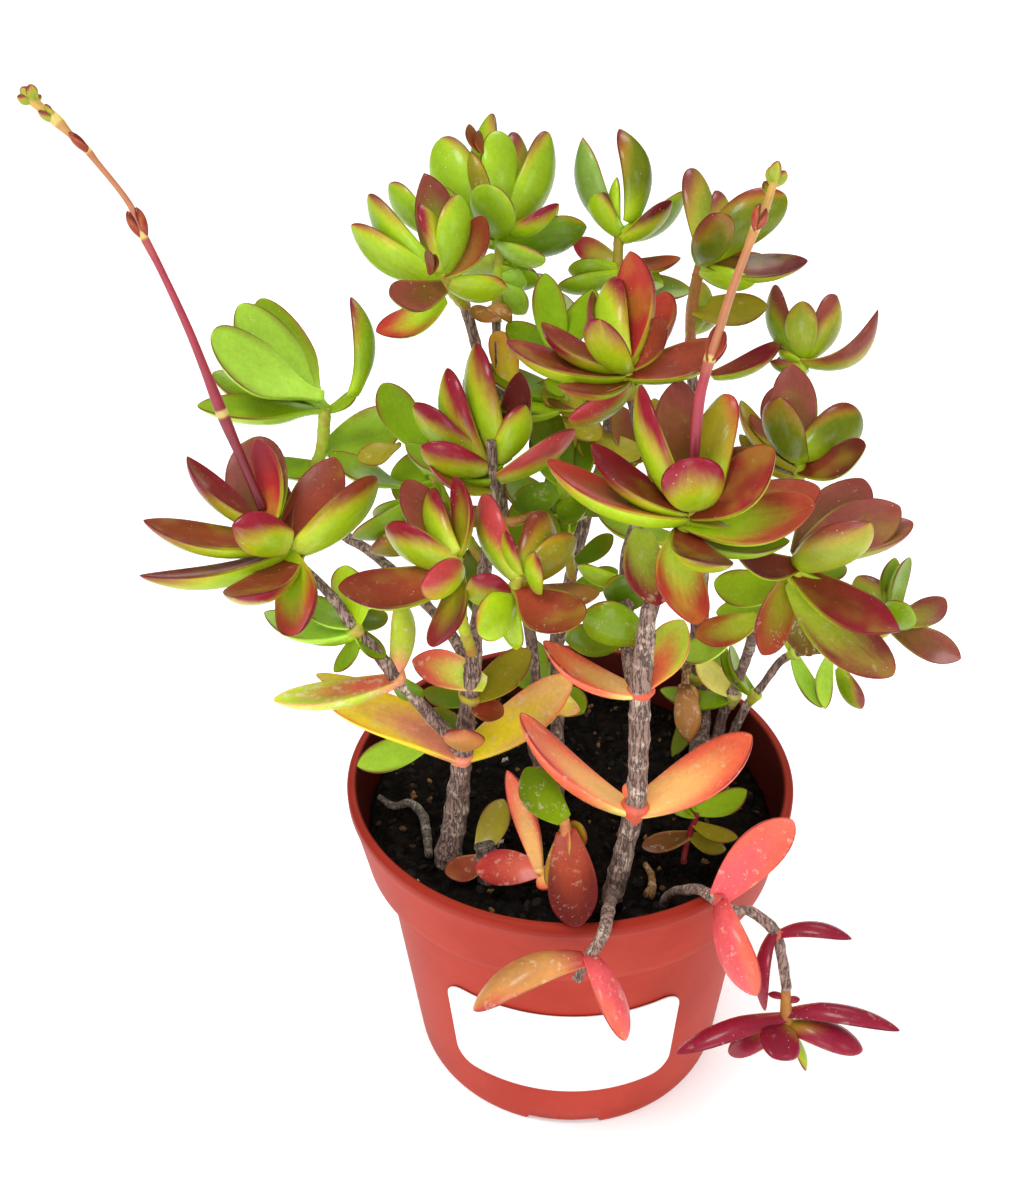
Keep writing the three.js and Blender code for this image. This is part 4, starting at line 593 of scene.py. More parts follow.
def smooth_path(points, step):
    """A smooth curve through all the points, cut into even steps."""
    points = np.asarray(points, float)
    if len(points) == 2:
        count = max(2, int(np.ceil(np.linalg.norm(points[1] - points[0]) / step)) + 1)
        return np.linspace(points[0], points[1], count)
    ends = np.vstack([2 * points[0] - points[1], points, 2 * points[-1] - points[-2]])
    fine = []
    for p0, p1, p2, p3 in zip(ends, ends[1:], ends[2:], ends[3:]):
        before, here, after = root_gap(p0, p1), root_gap(p1, p2), root_gap(p2, p3)
        lead = ((p1 - p0) / before - (p2 - p0) / (before + here) + (p2 - p1) / here) * here
        trail = ((p2 - p1) / here - (p3 - p1) / (here + after) + (p3 - p2) / after) * here
        t = np.linspace(0, 1, 25)[:-1, None]
        fine.append((2 * t**3 - 3 * t**2 + 1) * p1 + (t**3 - 2 * t**2 + t) * lead
                    + (-2 * t**3 + 3 * t**2) * p2 + (t**3 - t**2) * trail)
    fine = np.vstack(fine + [points[-1:]])
    reach = reach_along(fine)
    count = max(3, int(np.ceil(reach[-1] / step)) + 1)
    even = np.linspace(0, reach[-1], count)
    return np.column_stack([np.interp(even, reach, column) for column in fine.T])


def turning_frames(path):
    """Two directions across a path at each point, turned as little as possible along it."""
    ways = np.gradient(path, axis=0)
    ways /= np.linalg.norm(ways, axis=1)[:, None]
    aside = unit(np.cross(ways[0], [0.3, 1, 0.2]))
    sides = []
    for way in ways:
        aside = unit(aside - way * np.dot(aside, way))
        sides.append(aside)
    sides = np.array(sides)
    return ways, sides, np.cross(ways, sides)


# %% Leaves that show and leaves that are hidden
def leaf(tip, across, down, kind, **more):
    """A leaf that shows: its tip's pixel, the pixels across it and how far down the core it grows."""
    return {"tip": tip, "across": across, "down": down, "kind": kind, **more}


def hidden_leaf(turn, lift, down, kind, **more):
    """A leaf that looks away: its turn round the shoot from straight back, and its lift."""
    return {"turn": turn, "lift": lift, "down": down, "kind": kind, **more}


LEAF_WIDTH_SHARE = 0.46
USUAL_LEAN = 0.6


# %% Where the tip of a leaf lies
def tip_in_sight(grown, base, length):
    """The tip on its line of sight, at the leaf's length from its base, by its lean."""
    ray = unit(sight(*grown["tip"]))
    reach = base - EYE
    nearest = np.dot(reach, ray)
    slack = math.sqrt(max(0, length ** 2 - np.dot(reach, reach) + nearest ** 2))
    return EYE + ray * (nearest + grown.get("lean", USUAL_LEAN) * slack)


def tip_out_of_sight(grown, base, length, grows):
    """The tip of a leaf that looks away, by its turn and its lift."""
    away = np.array([0.0, 1.0, 0.0])
    away = unit(away - grows * np.dot(away, grows))
    aside = np.cross(grows, away)
    turn, lift = math.radians(grown["turn"]), math.radians(grown["lift"])
    level = away * math.cos(turn) + aside * math.sin(turn)
    return base + length * (grows * math.sin(lift) + level * math.cos(lift))


# %% How a leaf is rolled
def face_in_sight(grown, middle, along, width, grows):
    """The way the upper side looks: of the rolls that show the right width, the best lit one."""
    facing = EYE - middle
    facing = unit(facing - along * np.dot(facing, along))
    edge = np.cross(along, facing)
    shown = grown["across"] / pixels_per_mm(middle)
    tilts = np.radians(np.arange(0, 91, 3))
    flat, deep = width / 2 * np.sin(tilts), plumpness(grown["length"]) * np.cos(tilts)
    widths = flat + np.hypot(flat, deep)
    tilt = tilts[np.argmax(widths >= shown)] if shown < width else np.pi / 2
    share, slant = math.sin(tilt), math.cos(tilt)
    rolls = [front * share * facing + side * slant * edge for front in (1, -1) for side in (1, -1)]
    if "back" in grown:
        rolls = [roll for roll in rolls if (np.dot(roll, facing) < 0) == grown["back"]]
    lit = ACROSS * grown["toward"][0] - UPWARD * grown["toward"][1] if "toward" in grown else grows
    return max(rolls, key=lambda roll: np.dot(roll, lit))


# %% A leaf on its shoot
def grow_leaf(skins, grown, base, grows, long, wide, luck, **shape):
    """One leaf of a list: first its tip, then its roll, then its skin."""
    asked = grown.get("long", long)
    width = grown.get("wide", wide or asked * LEAF_WIDTH_SHARE)
    base = seen(grown["start"]) if "start" in grown else base
    if "tip" in grown:
        tip = tip_in_sight(grown, base, asked)
        along = unit(tip - base)
        face = face_in_sight(dict(grown, length=asked), base * 0.4 + tip * 0.6, along, width, grows)
    else:
        tip = tip_out_of_sight(grown, base, asked, grows)
        along = unit(tip - base)
        face = unit(grows - along * np.dot(grows, along))
    shape |= {name: grown[name] for name in ("bow", "neck", "point", "waist") if name in grown}
    add_leaf(skins, base, tip, face, width, grown["kind"], luck, **shape)


# %% Round limbs and their roots
SOIL_LEVEL = 68.0
ROOT_REACH = 4.4


def full_turn(count):
    """Even angles round a full turn."""
    return np.linspace(0, 2 * np.pi, count, endpoint=False)


def luck_of(name):
    """The seeded draws of one piece."""
    return np.random.default_rng(sum(map(ord, name)))


def round_rings(path, radii, sides, wobble=None):
    """Rings of points round a path."""
    _, aside, across = turning_frames(path)
    turn = full_turn(sides)[None, :, None]
    out = np.cos(turn) * aside[:, None] + np.sin(turn) * across[:, None]
    width = np.asarray(radii)[:, None] * (1 if wobble is None else wobble)
    return path[:, None] + out * np.broadcast_to(width, out.shape[:2])[..., None]


def root_points(pixel, thickness):
    """The foot of a stem: a point in the soil and one at its surface, with diameters."""
    surface = seen_at_height(pixel, SOIL_LEVEL)
    low, collar = surface.copy(), surface.copy()
    low[2], collar[2] = SOIL_LEVEL - ROOT_REACH, SOIL_LEVEL + 0.5
    return [[*low, thickness * 1.1], [*collar, thickness * 1.1]]


# %% [markdown]
# ## Woody stems
# The old stems are grey brown and cracked along their length. Every few millimetres a raised ring
# marks where a pair of leaves once sat. A bark texture alone would leave the outline smooth, so the
# rings and the lumps are in the mesh, and the finish adds the cracks and the pale peeling patches.

# %% Bark
def bark_finish(name, dark, middle, pale):
    bark = Finish(name)
    grain = bark.noise(1, 4, 0.65, bark.stretched(900, 900, 170))
    cracks = bark.rise(abs(grain - 0.5), 0.0, 0.05)
    patches = bark.rise(bark.noise(230, 4, 0.6), 0.54, 0.68)
    ring = bark.rise(bark.carried("scar"), 0.35, 0.9)
    colour = bark.tint(bark.noise(420, 4, 0.7), dark, middle)
    colour = bark.tint(patches * 0.75, colour, pale)
    colour = bark.tint(ring * 0.3, colour, pale)
    colour = bark.tint((1 - cracks) * 0.6, colour, rgb(36, 26, 22))
    colour = bark.shade(colour, 0.85 + bark.noise(1500, 2) * 0.5)
    height = cracks * 0.7 + grain * 0.5 + patches * 0.3
    return bark.paint(Base_Color=colour, Roughness=0.78 + patches * 0.12,
                      Normal=bark.bumps(height, 0.0007, 0.9))


BARK = bark_finish("bark", rgb(108, 84, 76), rgb(160, 130, 116), rgb(206, 184, 166))
DRY_LEAF = bark_finish("dry_leaf", rgb(120, 74, 36), rgb(196, 148, 92), rgb(226, 196, 140))
DEAD_BARK = bark_finish("dead_bark", rgb(84, 72, 62), rgb(140, 126, 112), rgb(190, 182, 168))

# %% A skin of bark
BARK_SIDES, BARK_STEP, OLD_JOINT_SPACING = 18, 0.45, 6.0
RING_REACH, RING_FOOT = 0.55, 1.6


def woody_skin(skins, rows, luck, spacing=OLD_JOINT_SPACING, finish=0):
    """A stem with lumps, and a raised ring at every old leaf joint."""
    path = smooth_path(rows, BARK_STEP)
    reach = reach_along(path)
    start = luck.uniform(0, spacing)
    near = (reach - start + spacing / 2) % spacing - spacing / 2
    scar = np.exp(-(near / RING_REACH) ** 2)
    swell = 1 + 0.06 * np.exp(-(near / RING_FOOT) ** 2) + 0.04 * scar
    turn = full_turn(BARK_SIDES)
    lumps = (1 + 0.05 * np.sin(2 * turn[None] + reach[:, None] * 0.35 + start)
             + 0.035 * np.sin(5 * turn[None] - reach[:, None] * 0.8)
             + luck.normal(0, 0.012, (len(path), BARK_SIDES)))
    rings = round_rings(path[:, :3], path[:, 3] / 2 * swell, BARK_SIDES, lumps)
    marks = {"along": np.append(np.repeat(reach, BARK_SIDES), [0, reach[-1]]),
             "scar": np.append(np.repeat(scar, BARK_SIDES), [0, 0])}
    skins.add(rings, marks=marks, finish=finish)


# %% [markdown]
# ## The shoots
# A shoot is a short soft core with leaves in crossed pairs. The youngest stand up at its tip and
# the oldest lie out at its foot. The core shows between the leaves as a pinkish green neck with a
# ring where each pair sits. It could be left out, because the leaves nearly hide it, but then a
# shoot seen from below would be empty. One well-made shoot could be copied and turned to fill the
# plant, but no two of these carry the same leaves, so each has its own list: the pixel of a leaf's
# tip, the pixels across it, how many millimetres down the core it grows, and its kind.

# %% The core's finish
def core_finish():
    neck = Finish("leaf_core", Coat_Roughness=0.3, Coat_Weight=0.15, Specular_IOR_Level=0.25)
    cloud = neck.noise(300, 3)
    own = neck.carried("tone", "Color")
    colour = neck.tint(neck.rise(cloud, 0.4, 0.7) * 0.5, own, rgb(190, 110, 84))
    foot = (1 - neck.rise(neck.carried("along"), 0.0, 0.4)) * 0.6
    colour = neck.tint(foot, colour, rgb(160, 70, 60))
    colour = neck.shade(colour, 0.75 + neck.noise(1100, 2) * 0.5)
    return neck.paint(Base_Color=colour, Roughness=0.45 + cloud * 0.15,
                      Normal=neck.bumps(neck.noise(700, 3), 0.0003, 0.5))


LEAF_CORE = core_finish()

# %% Down the core
CORE_SIDES, CORE_STEP, FINE_STEP, YOUNG_JOINT_SPACING = 16, 0.5, 0.25, 3.4


def down_the_core(core, distance):
    """The point some way down from a core's tip, and the way the core grows there."""
    path = smooth_path(core, FINE_STEP)
    reach = reach_along(path)
    at = np.clip(reach[-1] - distance, 0, reach[-1])
    point = np.array([np.interp(at, reach, column) for column in path.T])
    near = min(max(np.searchsorted(reach, at), 1), len(path) - 1)
    return point, unit(path[near] - path[near - 1])


# %% The core's skin
def core_skin(skins, name, path, leaves, tone):
    """The soft core: a clasping cup under an old pair, an even neck in a young shoot."""
    share = np.linspace(0, 1, len(path))
    clasps = name.startswith(("pair", "trailing"))
    swell = np.interp(share, [0, 0.5, 0.85, 1], [0.55, 0.8, 1, 0.8] if clasps else [1, 1, 1, 0.85])
    reach = reach_along(path)
    waves = np.cos(reach * 2 * np.pi / YOUNG_JOINT_SPACING)
    joints = 1 + 0.1 * np.maximum(0, waves) ** 6 * (not clasps)
    tone = tone or np.mean([KINDS[grown["kind"]][0] for grown in leaves], axis=0)
    marks = {"tone": tone, "along": np.append(np.repeat(share, CORE_SIDES), [0, 1])}
    rings = round_rings(path[:, :3], path[:, 3] / 2 * joints * swell, CORE_SIDES)
    skins.add(rings, marks=marks, finish=1)


# %% One shoot
def shoot(name, core, long, girth, leaves, wide=None, root=None, woody=False, tone=None,
          **shape):
    """One leafy shoot as one piece."""
    luck = luck_of(name)
    core = [seen(pixel) for pixel in core]
    rows = [[*point, girth] for point in core]
    rows = root_points(root, girth) + rows if root else rows
    skins = Skins()
    if woody:
        woody_skin(skins, rows, luck, finish=1)
    else:
        core_skin(skins, name, smooth_path(rows, CORE_STEP), leaves, tone)
    for grown in leaves:
        base, grows = down_the_core(core, grown["down"])
        grow_leaf(skins, grown, base, grows, long, wide, luck, **shape)
    return skins.piece(name + "_grown", [LEAF_FLESH, BARK if woody else LEAF_CORE], name)


# %% [markdown]
# ### Shoots on the left
# The leftmost shoot is the reddest, with long narrow leaves. The one above and behind it is still
# pure lime, with wide spoon-shaped leaves on thin necks. Its leaves are the same leaf with a
# narrower neck and a longer waist, so no second leaf shape has to be modelled.

# %% Shoots on the left
shoot("rosette_left", core=[(298, 562, -25), (284, 538, -25), (266, 514, -25)],
      long=24, girth=2.6, leaves=[
    leaf((187, 456), 26, 3, "crimsonface", point=0.9),
    leaf((143, 520), 30, 6, "brickface", lean=0.3, point=0.9),
    leaf((139, 575), 20, 8, "brickface", lean=-0.3, wide=7, point=0.9, bow=0.07),
    leaf((232, 525), 46, 9, "halfcap", start=(290, 543, -27), lean=-0.8, long=13, wide=8.5,
         neck=0.6, toward=(0.3, -1), back=True),
    leaf((247, 440), 64, 1, "duskface", lean=1, long=21, wide=13.5, point=0.5),
    leaf((257, 439), 28, 1, "redtongue", start=(272, 520, -27), lean=0.2, long=17, wide=7),
    leaf((335, 457), 46, 6, "brickface", lean=0.6),
    leaf((378, 478), 36, 9, "browncap", lean=0.4, back=True),
    leaf((234, 597), 34, 10, "crimsonface", lean=-1),
    leaf((298, 634), 46, 11, "limered", start=(286, 556, -26), lean=-0.7),
    hidden_leaf(20, 20, 5, "mauve"),
])
shoot("rosette_upper_left", core=[(312, 474, 17.5), (321, 452, 19), (324, 425, 20), (325, 408, 20)],
      long=28, wide=14, girth=2.8, neck=0.2, waist=2.2, leaves=[
    leaf((211, 334), 53, 0, "palelime", start=(323, 396, 19), lean=-0.2, long=33, wide=16,
         point=0.5),
    leaf((240, 304), 54, 0, "palelime", lean=0.45, long=33),
    leaf((262, 298), 50, 0, "lime", lean=0.7, long=35),
    leaf((213, 372), 34, 0, "lime", lean=0.5, long=31),
    leaf((197, 406), 30, 0, "edgelime", lean=-0.1, long=32, wide=10, bow=0.0, toward=(0, -1),
         back=False),
    leaf((351, 297), 23, 0, "greenred", start=(351, 396, 19), lean=0.3, long=27, wide=7,
         bow=0.15, neck=0.5, toward=(-1, 0), back=True),
    leaf((358, 389), 13, 0, "leafgreen", start=(326, 411, 20), lean=0, long=10, wide=4, neck=0.6),
    leaf((270, 470), 26, 13, "leafgreen", lean=-0.4, long=15, waist=1.0),
    leaf((328, 453), 26, 14, "edgelime", start=(406, 486, 8), lean=0.2, long=21, wide=8,
         toward=(0.3, -1), back=False),
    leaf((357, 459), 24, 12, "olive", start=(400, 444, 10), lean=0, long=11, wide=6.5),
    leaf((402, 410), 46, 10, "leafgreen", lean=0.4, long=24, waist=1.0),
])

# %% The shoot behind them on the left
shoot("rosette_back_left", core=[(484, 562, -8), (462, 530, 0), (440, 490, 6), (432, 470, 8)],
      long=22, girth=2.4, leaves=[
    leaf((383, 383), 38, 0, "leafgreen", start=(420, 446, 9), lean=0.5, long=17, wide=9.5),
    leaf((408, 404), 42, 0, "leafgreen", lean=0.8, long=20, wide=11),
    leaf((391, 472), 54, 3, "leafgreen", lean=0.4, wide=12),
    leaf((373, 516), 26, 6, "leafgreen", lean=0.4),
    leaf((370, 552), 30, 9, "olive", lean=0.2),
    leaf((352, 537), 26, 4, "leafgreen", lean=0.2, long=23),
    hidden_leaf(20, 20, 2, "leafgreen"),
])

# %% [markdown]
# ### Shoots at the top
# The top shoots stand against the light. Their leaves are lime with thin red margins, and a few
# older ones show their dusky upper faces. Two rolls of a leaf can show the same width. Where the
# better lit one is wrong, a word in the leaf's line says whether its back is turned to the eye.
# Rolling it by hand in the viewport would do too, but a word is easier to change.

# %% Shoots at the top
shoot("rosette_top_left", core=[(465, 306, 21.5), (453, 292, 15.5), (440, 272, 10)],
      long=22, girth=2.4, leaves=[
    leaf((351, 225), 32, 2, "topcap", lean=0.3, back=True),
    leaf((368, 195), 30, 1, "topcap", lean=0.8, back=True),
    leaf((420, 204), 22, 0, "crimsoncap", lean=0.3, long=16, back=True),
    leaf((424, 173), 40, 0, "duskgreen", lean=0.8, point=0.85),
    leaf((460, 195), 34, 1, "topcap", lean=0.3, long=18, back=True),
    leaf((485, 217), 32, 1, "oliveface", lean=0, long=18, bow=0.14),
    leaf((390, 296), 34, 3, "duskface", start=(444, 287, 6), lean=-0.9, long=16),
    leaf((376, 332), 30, 5, "limered", start=(444, 298, 8), lean=-0.3, long=17, wide=8),
    leaf((507, 288), 28, 4, "limecap", lean=0.2, long=17, back=True),
    leaf((427, 249), 10, 0, "budbrown", start=(430, 274, 4), lean=0, long=6, wide=3),
    leaf((435, 254), 8, 0, "budbrown", start=(432, 273, 4), lean=0, long=5, wide=2.5),
    leaf((470, 309), 16, 5, "dried", start=(500, 317, 21), lean=0, long=9, wide=4.5, bow=0.15),
    leaf((512, 322), 14, 5, "dried", start=(488, 308, 21), lean=0, long=8, wide=4, bow=-0.2),
    leaf((497, 331), 28, 8, "amber", start=(510, 388, 20), lean=0, long=13, wide=7, point=0.5),
    leaf((466, 376), 16, 8, "amber", start=(478, 400, 18), lean=0, long=7, wide=4),
    hidden_leaf(-10, 5, 5, "green"),
])

# %% The highest shoot
shoot("rosette_top", core=[(496, 322, 25), (498, 285, 27), (500, 250, 29.5), (500, 226, 31)],
      long=22, girth=2.4, leaves=[
    leaf((389, 184), 26, 2, "topcap", start=(432, 232, 26), lean=0.4, long=17, back=True),
    leaf((437, 141), 52, 1, "topcap", lean=0.8, long=24, wide=12, back=True, point=0.5),
    leaf((469, 124), 12, 0, "budbrown", start=(480, 152, 32), lean=0.3, long=8, wide=3.5),
    leaf((479, 130), 9, 0, "budbrown", start=(482, 152, 32), lean=0.3, long=6, wide=3),
    leaf((491, 114), 28, 0, "topcap", lean=1, long=26, back=True),
    leaf((500, 131), 40, 0, "topcap", lean=0.4, long=23, point=0.5, back=True),
    leaf((517, 134), 30, 0, "mauvecap", lean=0.9, long=24, back=True),
    leaf((549, 133), 36, 1, "topcap", lean=0.9, long=25, back=True),
    leaf((488, 184), 42, 2, "topcap", lean=-1, long=15, wide=10, point=0.5, back=True),
    leaf((471, 151), 22, 1, "olive", lean=0.6, long=17, wide=6),
    leaf((559, 204), 24, 1, "oliveface", lean=-0.2, long=18, wide=8, bow=0.2, toward=(-0.5, -1)),
    leaf((587, 227), 36, 4, "shade", lean=0.3),
    leaf((545, 257), 20, 4, "palelime", lean=-0.7, long=16, back=True),
    leaf((540, 283), 24, 9, "leafgreen", lean=0.2, long=15),
    leaf((538, 276), 22, 11, "palelime", lean=0.2, long=12),
    leaf((526, 314), 26, 11, "palelime", lean=0.4, long=12),
    hidden_leaf(10, 25, 3, "green"),
    hidden_leaf(30, 0, 6, "lime"),
    hidden_leaf(-20, 0, 7, "leafgreen"),
])

# %% The top shoot in the middle
shoot("rosette_top_middle", core=[(619, 292, 34), (618, 262, 35.5), (619, 230, 37)],
      long=21, girth=2.2, tone=DULL_GREEN, leaves=[
    leaf((583, 137), 27, 0, "greygreen", lean=0.6, point=1.1, bow=0.11, toward=(1, 0)),
    leaf((598, 166), 12, 0, "maroon", lean=1, long=17),
    leaf((590, 178), 24, 1, "maroonface", lean=-0.3, long=14),
    leaf((617, 177), 12, 0, "limecap", lean=0, long=11, wide=3.5, back=True),
    leaf((619, 129), 28, 0, "mosscap", start=(630, 222, 36), lean=0.8, long=22, bow=0.16,
         toward=(-1, 0), back=True, point=1.0),
    leaf((672, 201), 21, 1, "stripe", start=(622, 240, 36), lean=0, long=15),
    leaf((685, 195), 24, 1, "leafgreen", lean=1, long=20, back=True),
    leaf((573, 240), 24, 7, "edgered", lean=0.4, long=12),
    leaf((568, 270), 22, 8, "leafgreen", lean=0, long=12, back=True),
    leaf((557, 287), 20, 9, "leafgreen", lean=-0.3, long=14, back=True),
    leaf((681, 258), 16, 7, "oldrose", lean=0, long=15),
    leaf((664, 286), 24, 8, "leafgreen", lean=-0.3, long=12),
    leaf((692, 291), 24, 9, "leafgreen", lean=0.3, long=18),
])

# %% The top shoot on the right
shoot("rosette_top_right", core=[(690, 352, 33), (693, 300, 28), (703, 254, 23.5)],
      long=22, girth=2.4, tone=HAZEL, leaves=[
    leaf((695, 169), 29, 0, "mauvecap", lean=0.7, bow=0.03, toward=(-1, 0), back=True, point=0.5),
    leaf((722, 196), 26, 0, "mauvecap", lean=0.9, long=20, back=True),
    leaf((722, 213), 38, 2, "mosscap", lean=-1, long=17, back=True, point=0.5),
    leaf((750, 220), 24, 0, "mauvecap", lean=0.8, long=18, back=True),
    leaf((786, 195), 52, 1, "mosscap", lean=0.3, back=True, point=0.5),
    leaf((808, 261), 26, 2, "maroonface", lean=0.1),
    leaf((765, 256), 20, 1, "oldrose", lean=0.8, long=16),
    leaf((755, 283), 22, 4, "lime", lean=-0.3, long=14, back=True),
    leaf((768, 306), 32, 14, "olive", lean=0.2, long=19),
    leaf((701, 281), 26, 21, "mauvecap", lean=-0.2, long=15, back=True),
    leaf((722, 300), 22, 20, "mauvecap", lean=0.6, long=15, back=True),
    leaf((781, 341), 21, 20, "crimsonface", start=(712, 375, 22), lean=0.3, long=21),
])

# %% [markdown]
# ### Shoots in the middle
# The middle of the plant is the densest part: red tips in front, plain green leaves in the shade
# behind them. The green ones could be a blur, since they are half hidden, but light and gaps
# between them give the bush its depth, so they are leaves like the rest.

# %% Shoots in the middle
shoot("rosette_red_centre", core=[(632, 398, -14), (626, 380, -14), (625, 363, -14)],
      long=24, girth=2.8, leaves=[
    leaf((630, 251), 40, 0, "redface", lean=0.5),
    leaf((610, 281), 36, 0, "crimsoncap", lean=0.8, back=True),
    leaf((600, 319), 36, 1, "crimsoncap", lean=-0.8, long=20, back=True),
    leaf((542, 322), 24, 1, "crimsonface", lean=0.4),
    leaf((506, 341), 28, 2, "crimsonface", lean=0.2, long=25),
    leaf((560, 387), 22, 3, "crimsonface", lean=-0.7, long=19),
    leaf((568, 418), 25, 5, "rosecap", lean=-0.5, long=20, back=True),
    leaf((665, 320), 32, 1, "brickface", lean=-0.3, long=15),
    leaf((662, 292), 38, 0, "redface", lean=1, long=24),
    leaf((727, 343), 36, 2, "brickface", lean=0.2),
    leaf((593, 291), 18, 2, "mauvecap", lean=0.9, long=20, wide=6),
    hidden_leaf(0, 5, 5, "redlime", long=18),
])

# %% The shoot at the centre
shoot("rosette_centre", core=[(493, 514, -9), (493, 475, -8), (491, 441, -8)], woody=True,
      long=22, girth=1.9, leaves=[
    leaf((476, 343), 32, 4, "crimsoncap", start=(506, 462, -4), lean=0.5, long=26, back=True),
    leaf((447, 368), 31, 4, "crimsoncap", start=(484, 466, -5), lean=0.4, back=True),
    leaf((413, 405), 30, 5, "crimsoncap", start=(482, 458, -4), lean=0.1, back=True),
    leaf((421, 446), 34, 6, "halfcap", start=(487, 470, -7), lean=-0.5, long=18, back=True),
    leaf((428, 462), 20, 8, "rosecap", start=(490, 490, -9), lean=-0.3, long=17),
    leaf((526, 405), 32, 5, "crimsoncap", start=(497, 462, -6), lean=-0.1, long=15, back=True),
    leaf((520, 372), 32, 4, "maroonface", start=(494, 466, -3), lean=0.8, long=20, wide=9),
    leaf((576, 430), 24, 7, "rosecap", start=(498, 478, -8), lean=0.1, back=True, bow=0.04),
    leaf((483, 418), 11, 0, "maroonface", start=(489, 455, -5), lean=0, long=9, wide=3),
    leaf((454, 498), 14, 0, "dried", start=(487, 524, -9), lean=0, long=9, wide=4, bow=0.3),
    leaf((463, 520), 14, 0, "dried", start=(490, 516, -9), lean=0, long=7, wide=4, bow=-0.3),
    leaf((534, 511), 10, 0, "dried", start=(495, 518, -9), lean=0, long=8, wide=3, bow=0.2),
    hidden_leaf(10, 20, 6, "leafgreen"),
    hidden_leaf(60, 10, 8, "leafgreen"),
])

# %% The two shoots in front
shoot("rosette_front_left", core=[
    (472, 652, -17.5), (463, 625, -23), (459, 590, -27), (457, 556, -29),
], long=23, girth=2.4, leaves=[
    leaf((407, 479), 42, 1, "duskface", lean=0.6),
    leaf((430, 490), 28, 0, "crimsoncap", lean=0.8, long=19, back=True),
    leaf((385, 528), 36, 2, "crimsoncap", lean=0.3, back=True),
    leaf((338, 588), 44, 4, "brickface", lean=0, long=24, wide=11),
    leaf((421, 585), 34, 3, "rosecap", lean=-1, long=17, back=True),
    leaf((433, 647), 30, 5, "edgered", lean=-0.6, long=19),
    leaf((455, 476), 22, 0, "edgered", lean=0.2, long=18),
    leaf((470, 548), 24, 6, "shade", start=(478, 612, -12), lean=0.5, long=14, wide=7),
    hidden_leaf(30, 15, 5, "redlime", long=18),
])
shoot("rosette_front_middle", core=[
    (487, 626, -15.5), (498, 616, -23.5), (508, 602, -28), (520, 574, -30),
], long=22, girth=2.6, leaves=[
    leaf((482, 495), 32, 1, "rosecap", lean=0.5, back=True),
    leaf((505, 531), 17, 0, "crimsoncap", lean=-0.2, long=12, back=True),
    leaf((547, 513), 38, 0, "olivecap", lean=0.6, long=18, back=True, point=0.5),
    leaf((576, 538), 34, 2, "olive", lean=0.5, long=17, back=True, point=0.5),
    leaf((535, 552), 18, 1, "crimsoncap", start=(538, 592, -32), lean=-0.6, long=11, wide=6,
         back=True),
    leaf((577, 626), 52, 3, "brickface", lean=-0.6, long=21, wide=12, neck=0.2, waist=1.5,
         point=0.5),
    leaf((472, 577), 37, 4, "halfcap", start=(506, 602, -29), lean=-0.85, long=11, wide=8, neck=0.6,
         point=0.55, toward=(-0.3, -1), back=True),
    leaf((478, 634), 40, 6, "limecap", lean=-0.6, long=18, back=True, point=0.5),
    leaf((600, 592), 26, 5, "dried", lean=0.4, long=18),
    leaf((516, 650), 24, 6, "limecap", lean=0.3, long=17, back=True),
])

# %% The green shoot at the back
shoot("rosette_green_back", core=[(578, 470, 18), (568, 420, 16), (558, 350, 15)],
      long=20, girth=2.2, leaves=[
    leaf((545, 273), 34, 1, "leafgreen", lean=0.3),
    leaf((593, 289), 30, 0, "green", lean=0.7),
    leaf((508, 322), 32, 2, "leafgreen", lean=0.4),
    leaf((516, 348), 17, 4, "maroon", lean=0),
    leaf((550, 392), 26, 7, "leafgreen", lean=-0.6, long=12),
    leaf((600, 440), 30, 12, "olive", lean=-0.5, long=15),
    leaf((526, 396), 30, 10, "leafgreen", lean=0.3, long=17),
    leaf((541, 391), 28, 12, "olive", start=(584, 416, 14), lean=0.1, long=13, wide=7, bow=-0.1),
    leaf((547, 399), 9, 12, "maroonface", start=(576, 409, 12), lean=-0.1, long=8, wide=3),
    leaf((577, 446), 34, 20, "olive", start=(640, 452, 14), lean=0.1, long=16, wide=9),
    leaf((640, 462), 30, 20, "leafgreen", start=(600, 440, 18), lean=0.3, long=12, wide=8),
    leaf((505, 483), 28, 20, "olive", start=(545, 505, 16), lean=0.2, long=12, wide=7),
    leaf((617, 406), 28, 20, "duskface", start=(640, 462, 16), lean=0.2, long=14, wide=8),
    leaf((654, 398), 24, 20, "olive", start=(650, 450, 14), lean=0.4, long=14, wide=7),
    hidden_leaf(0, 30, 3, "leafgreen"),
    hidden_leaf(60, 15, 10, "leafgreen"),
    hidden_leaf(120, 20, 12, "lime"),
    hidden_leaf(-60, 20, 14, "leafgreen"),
])

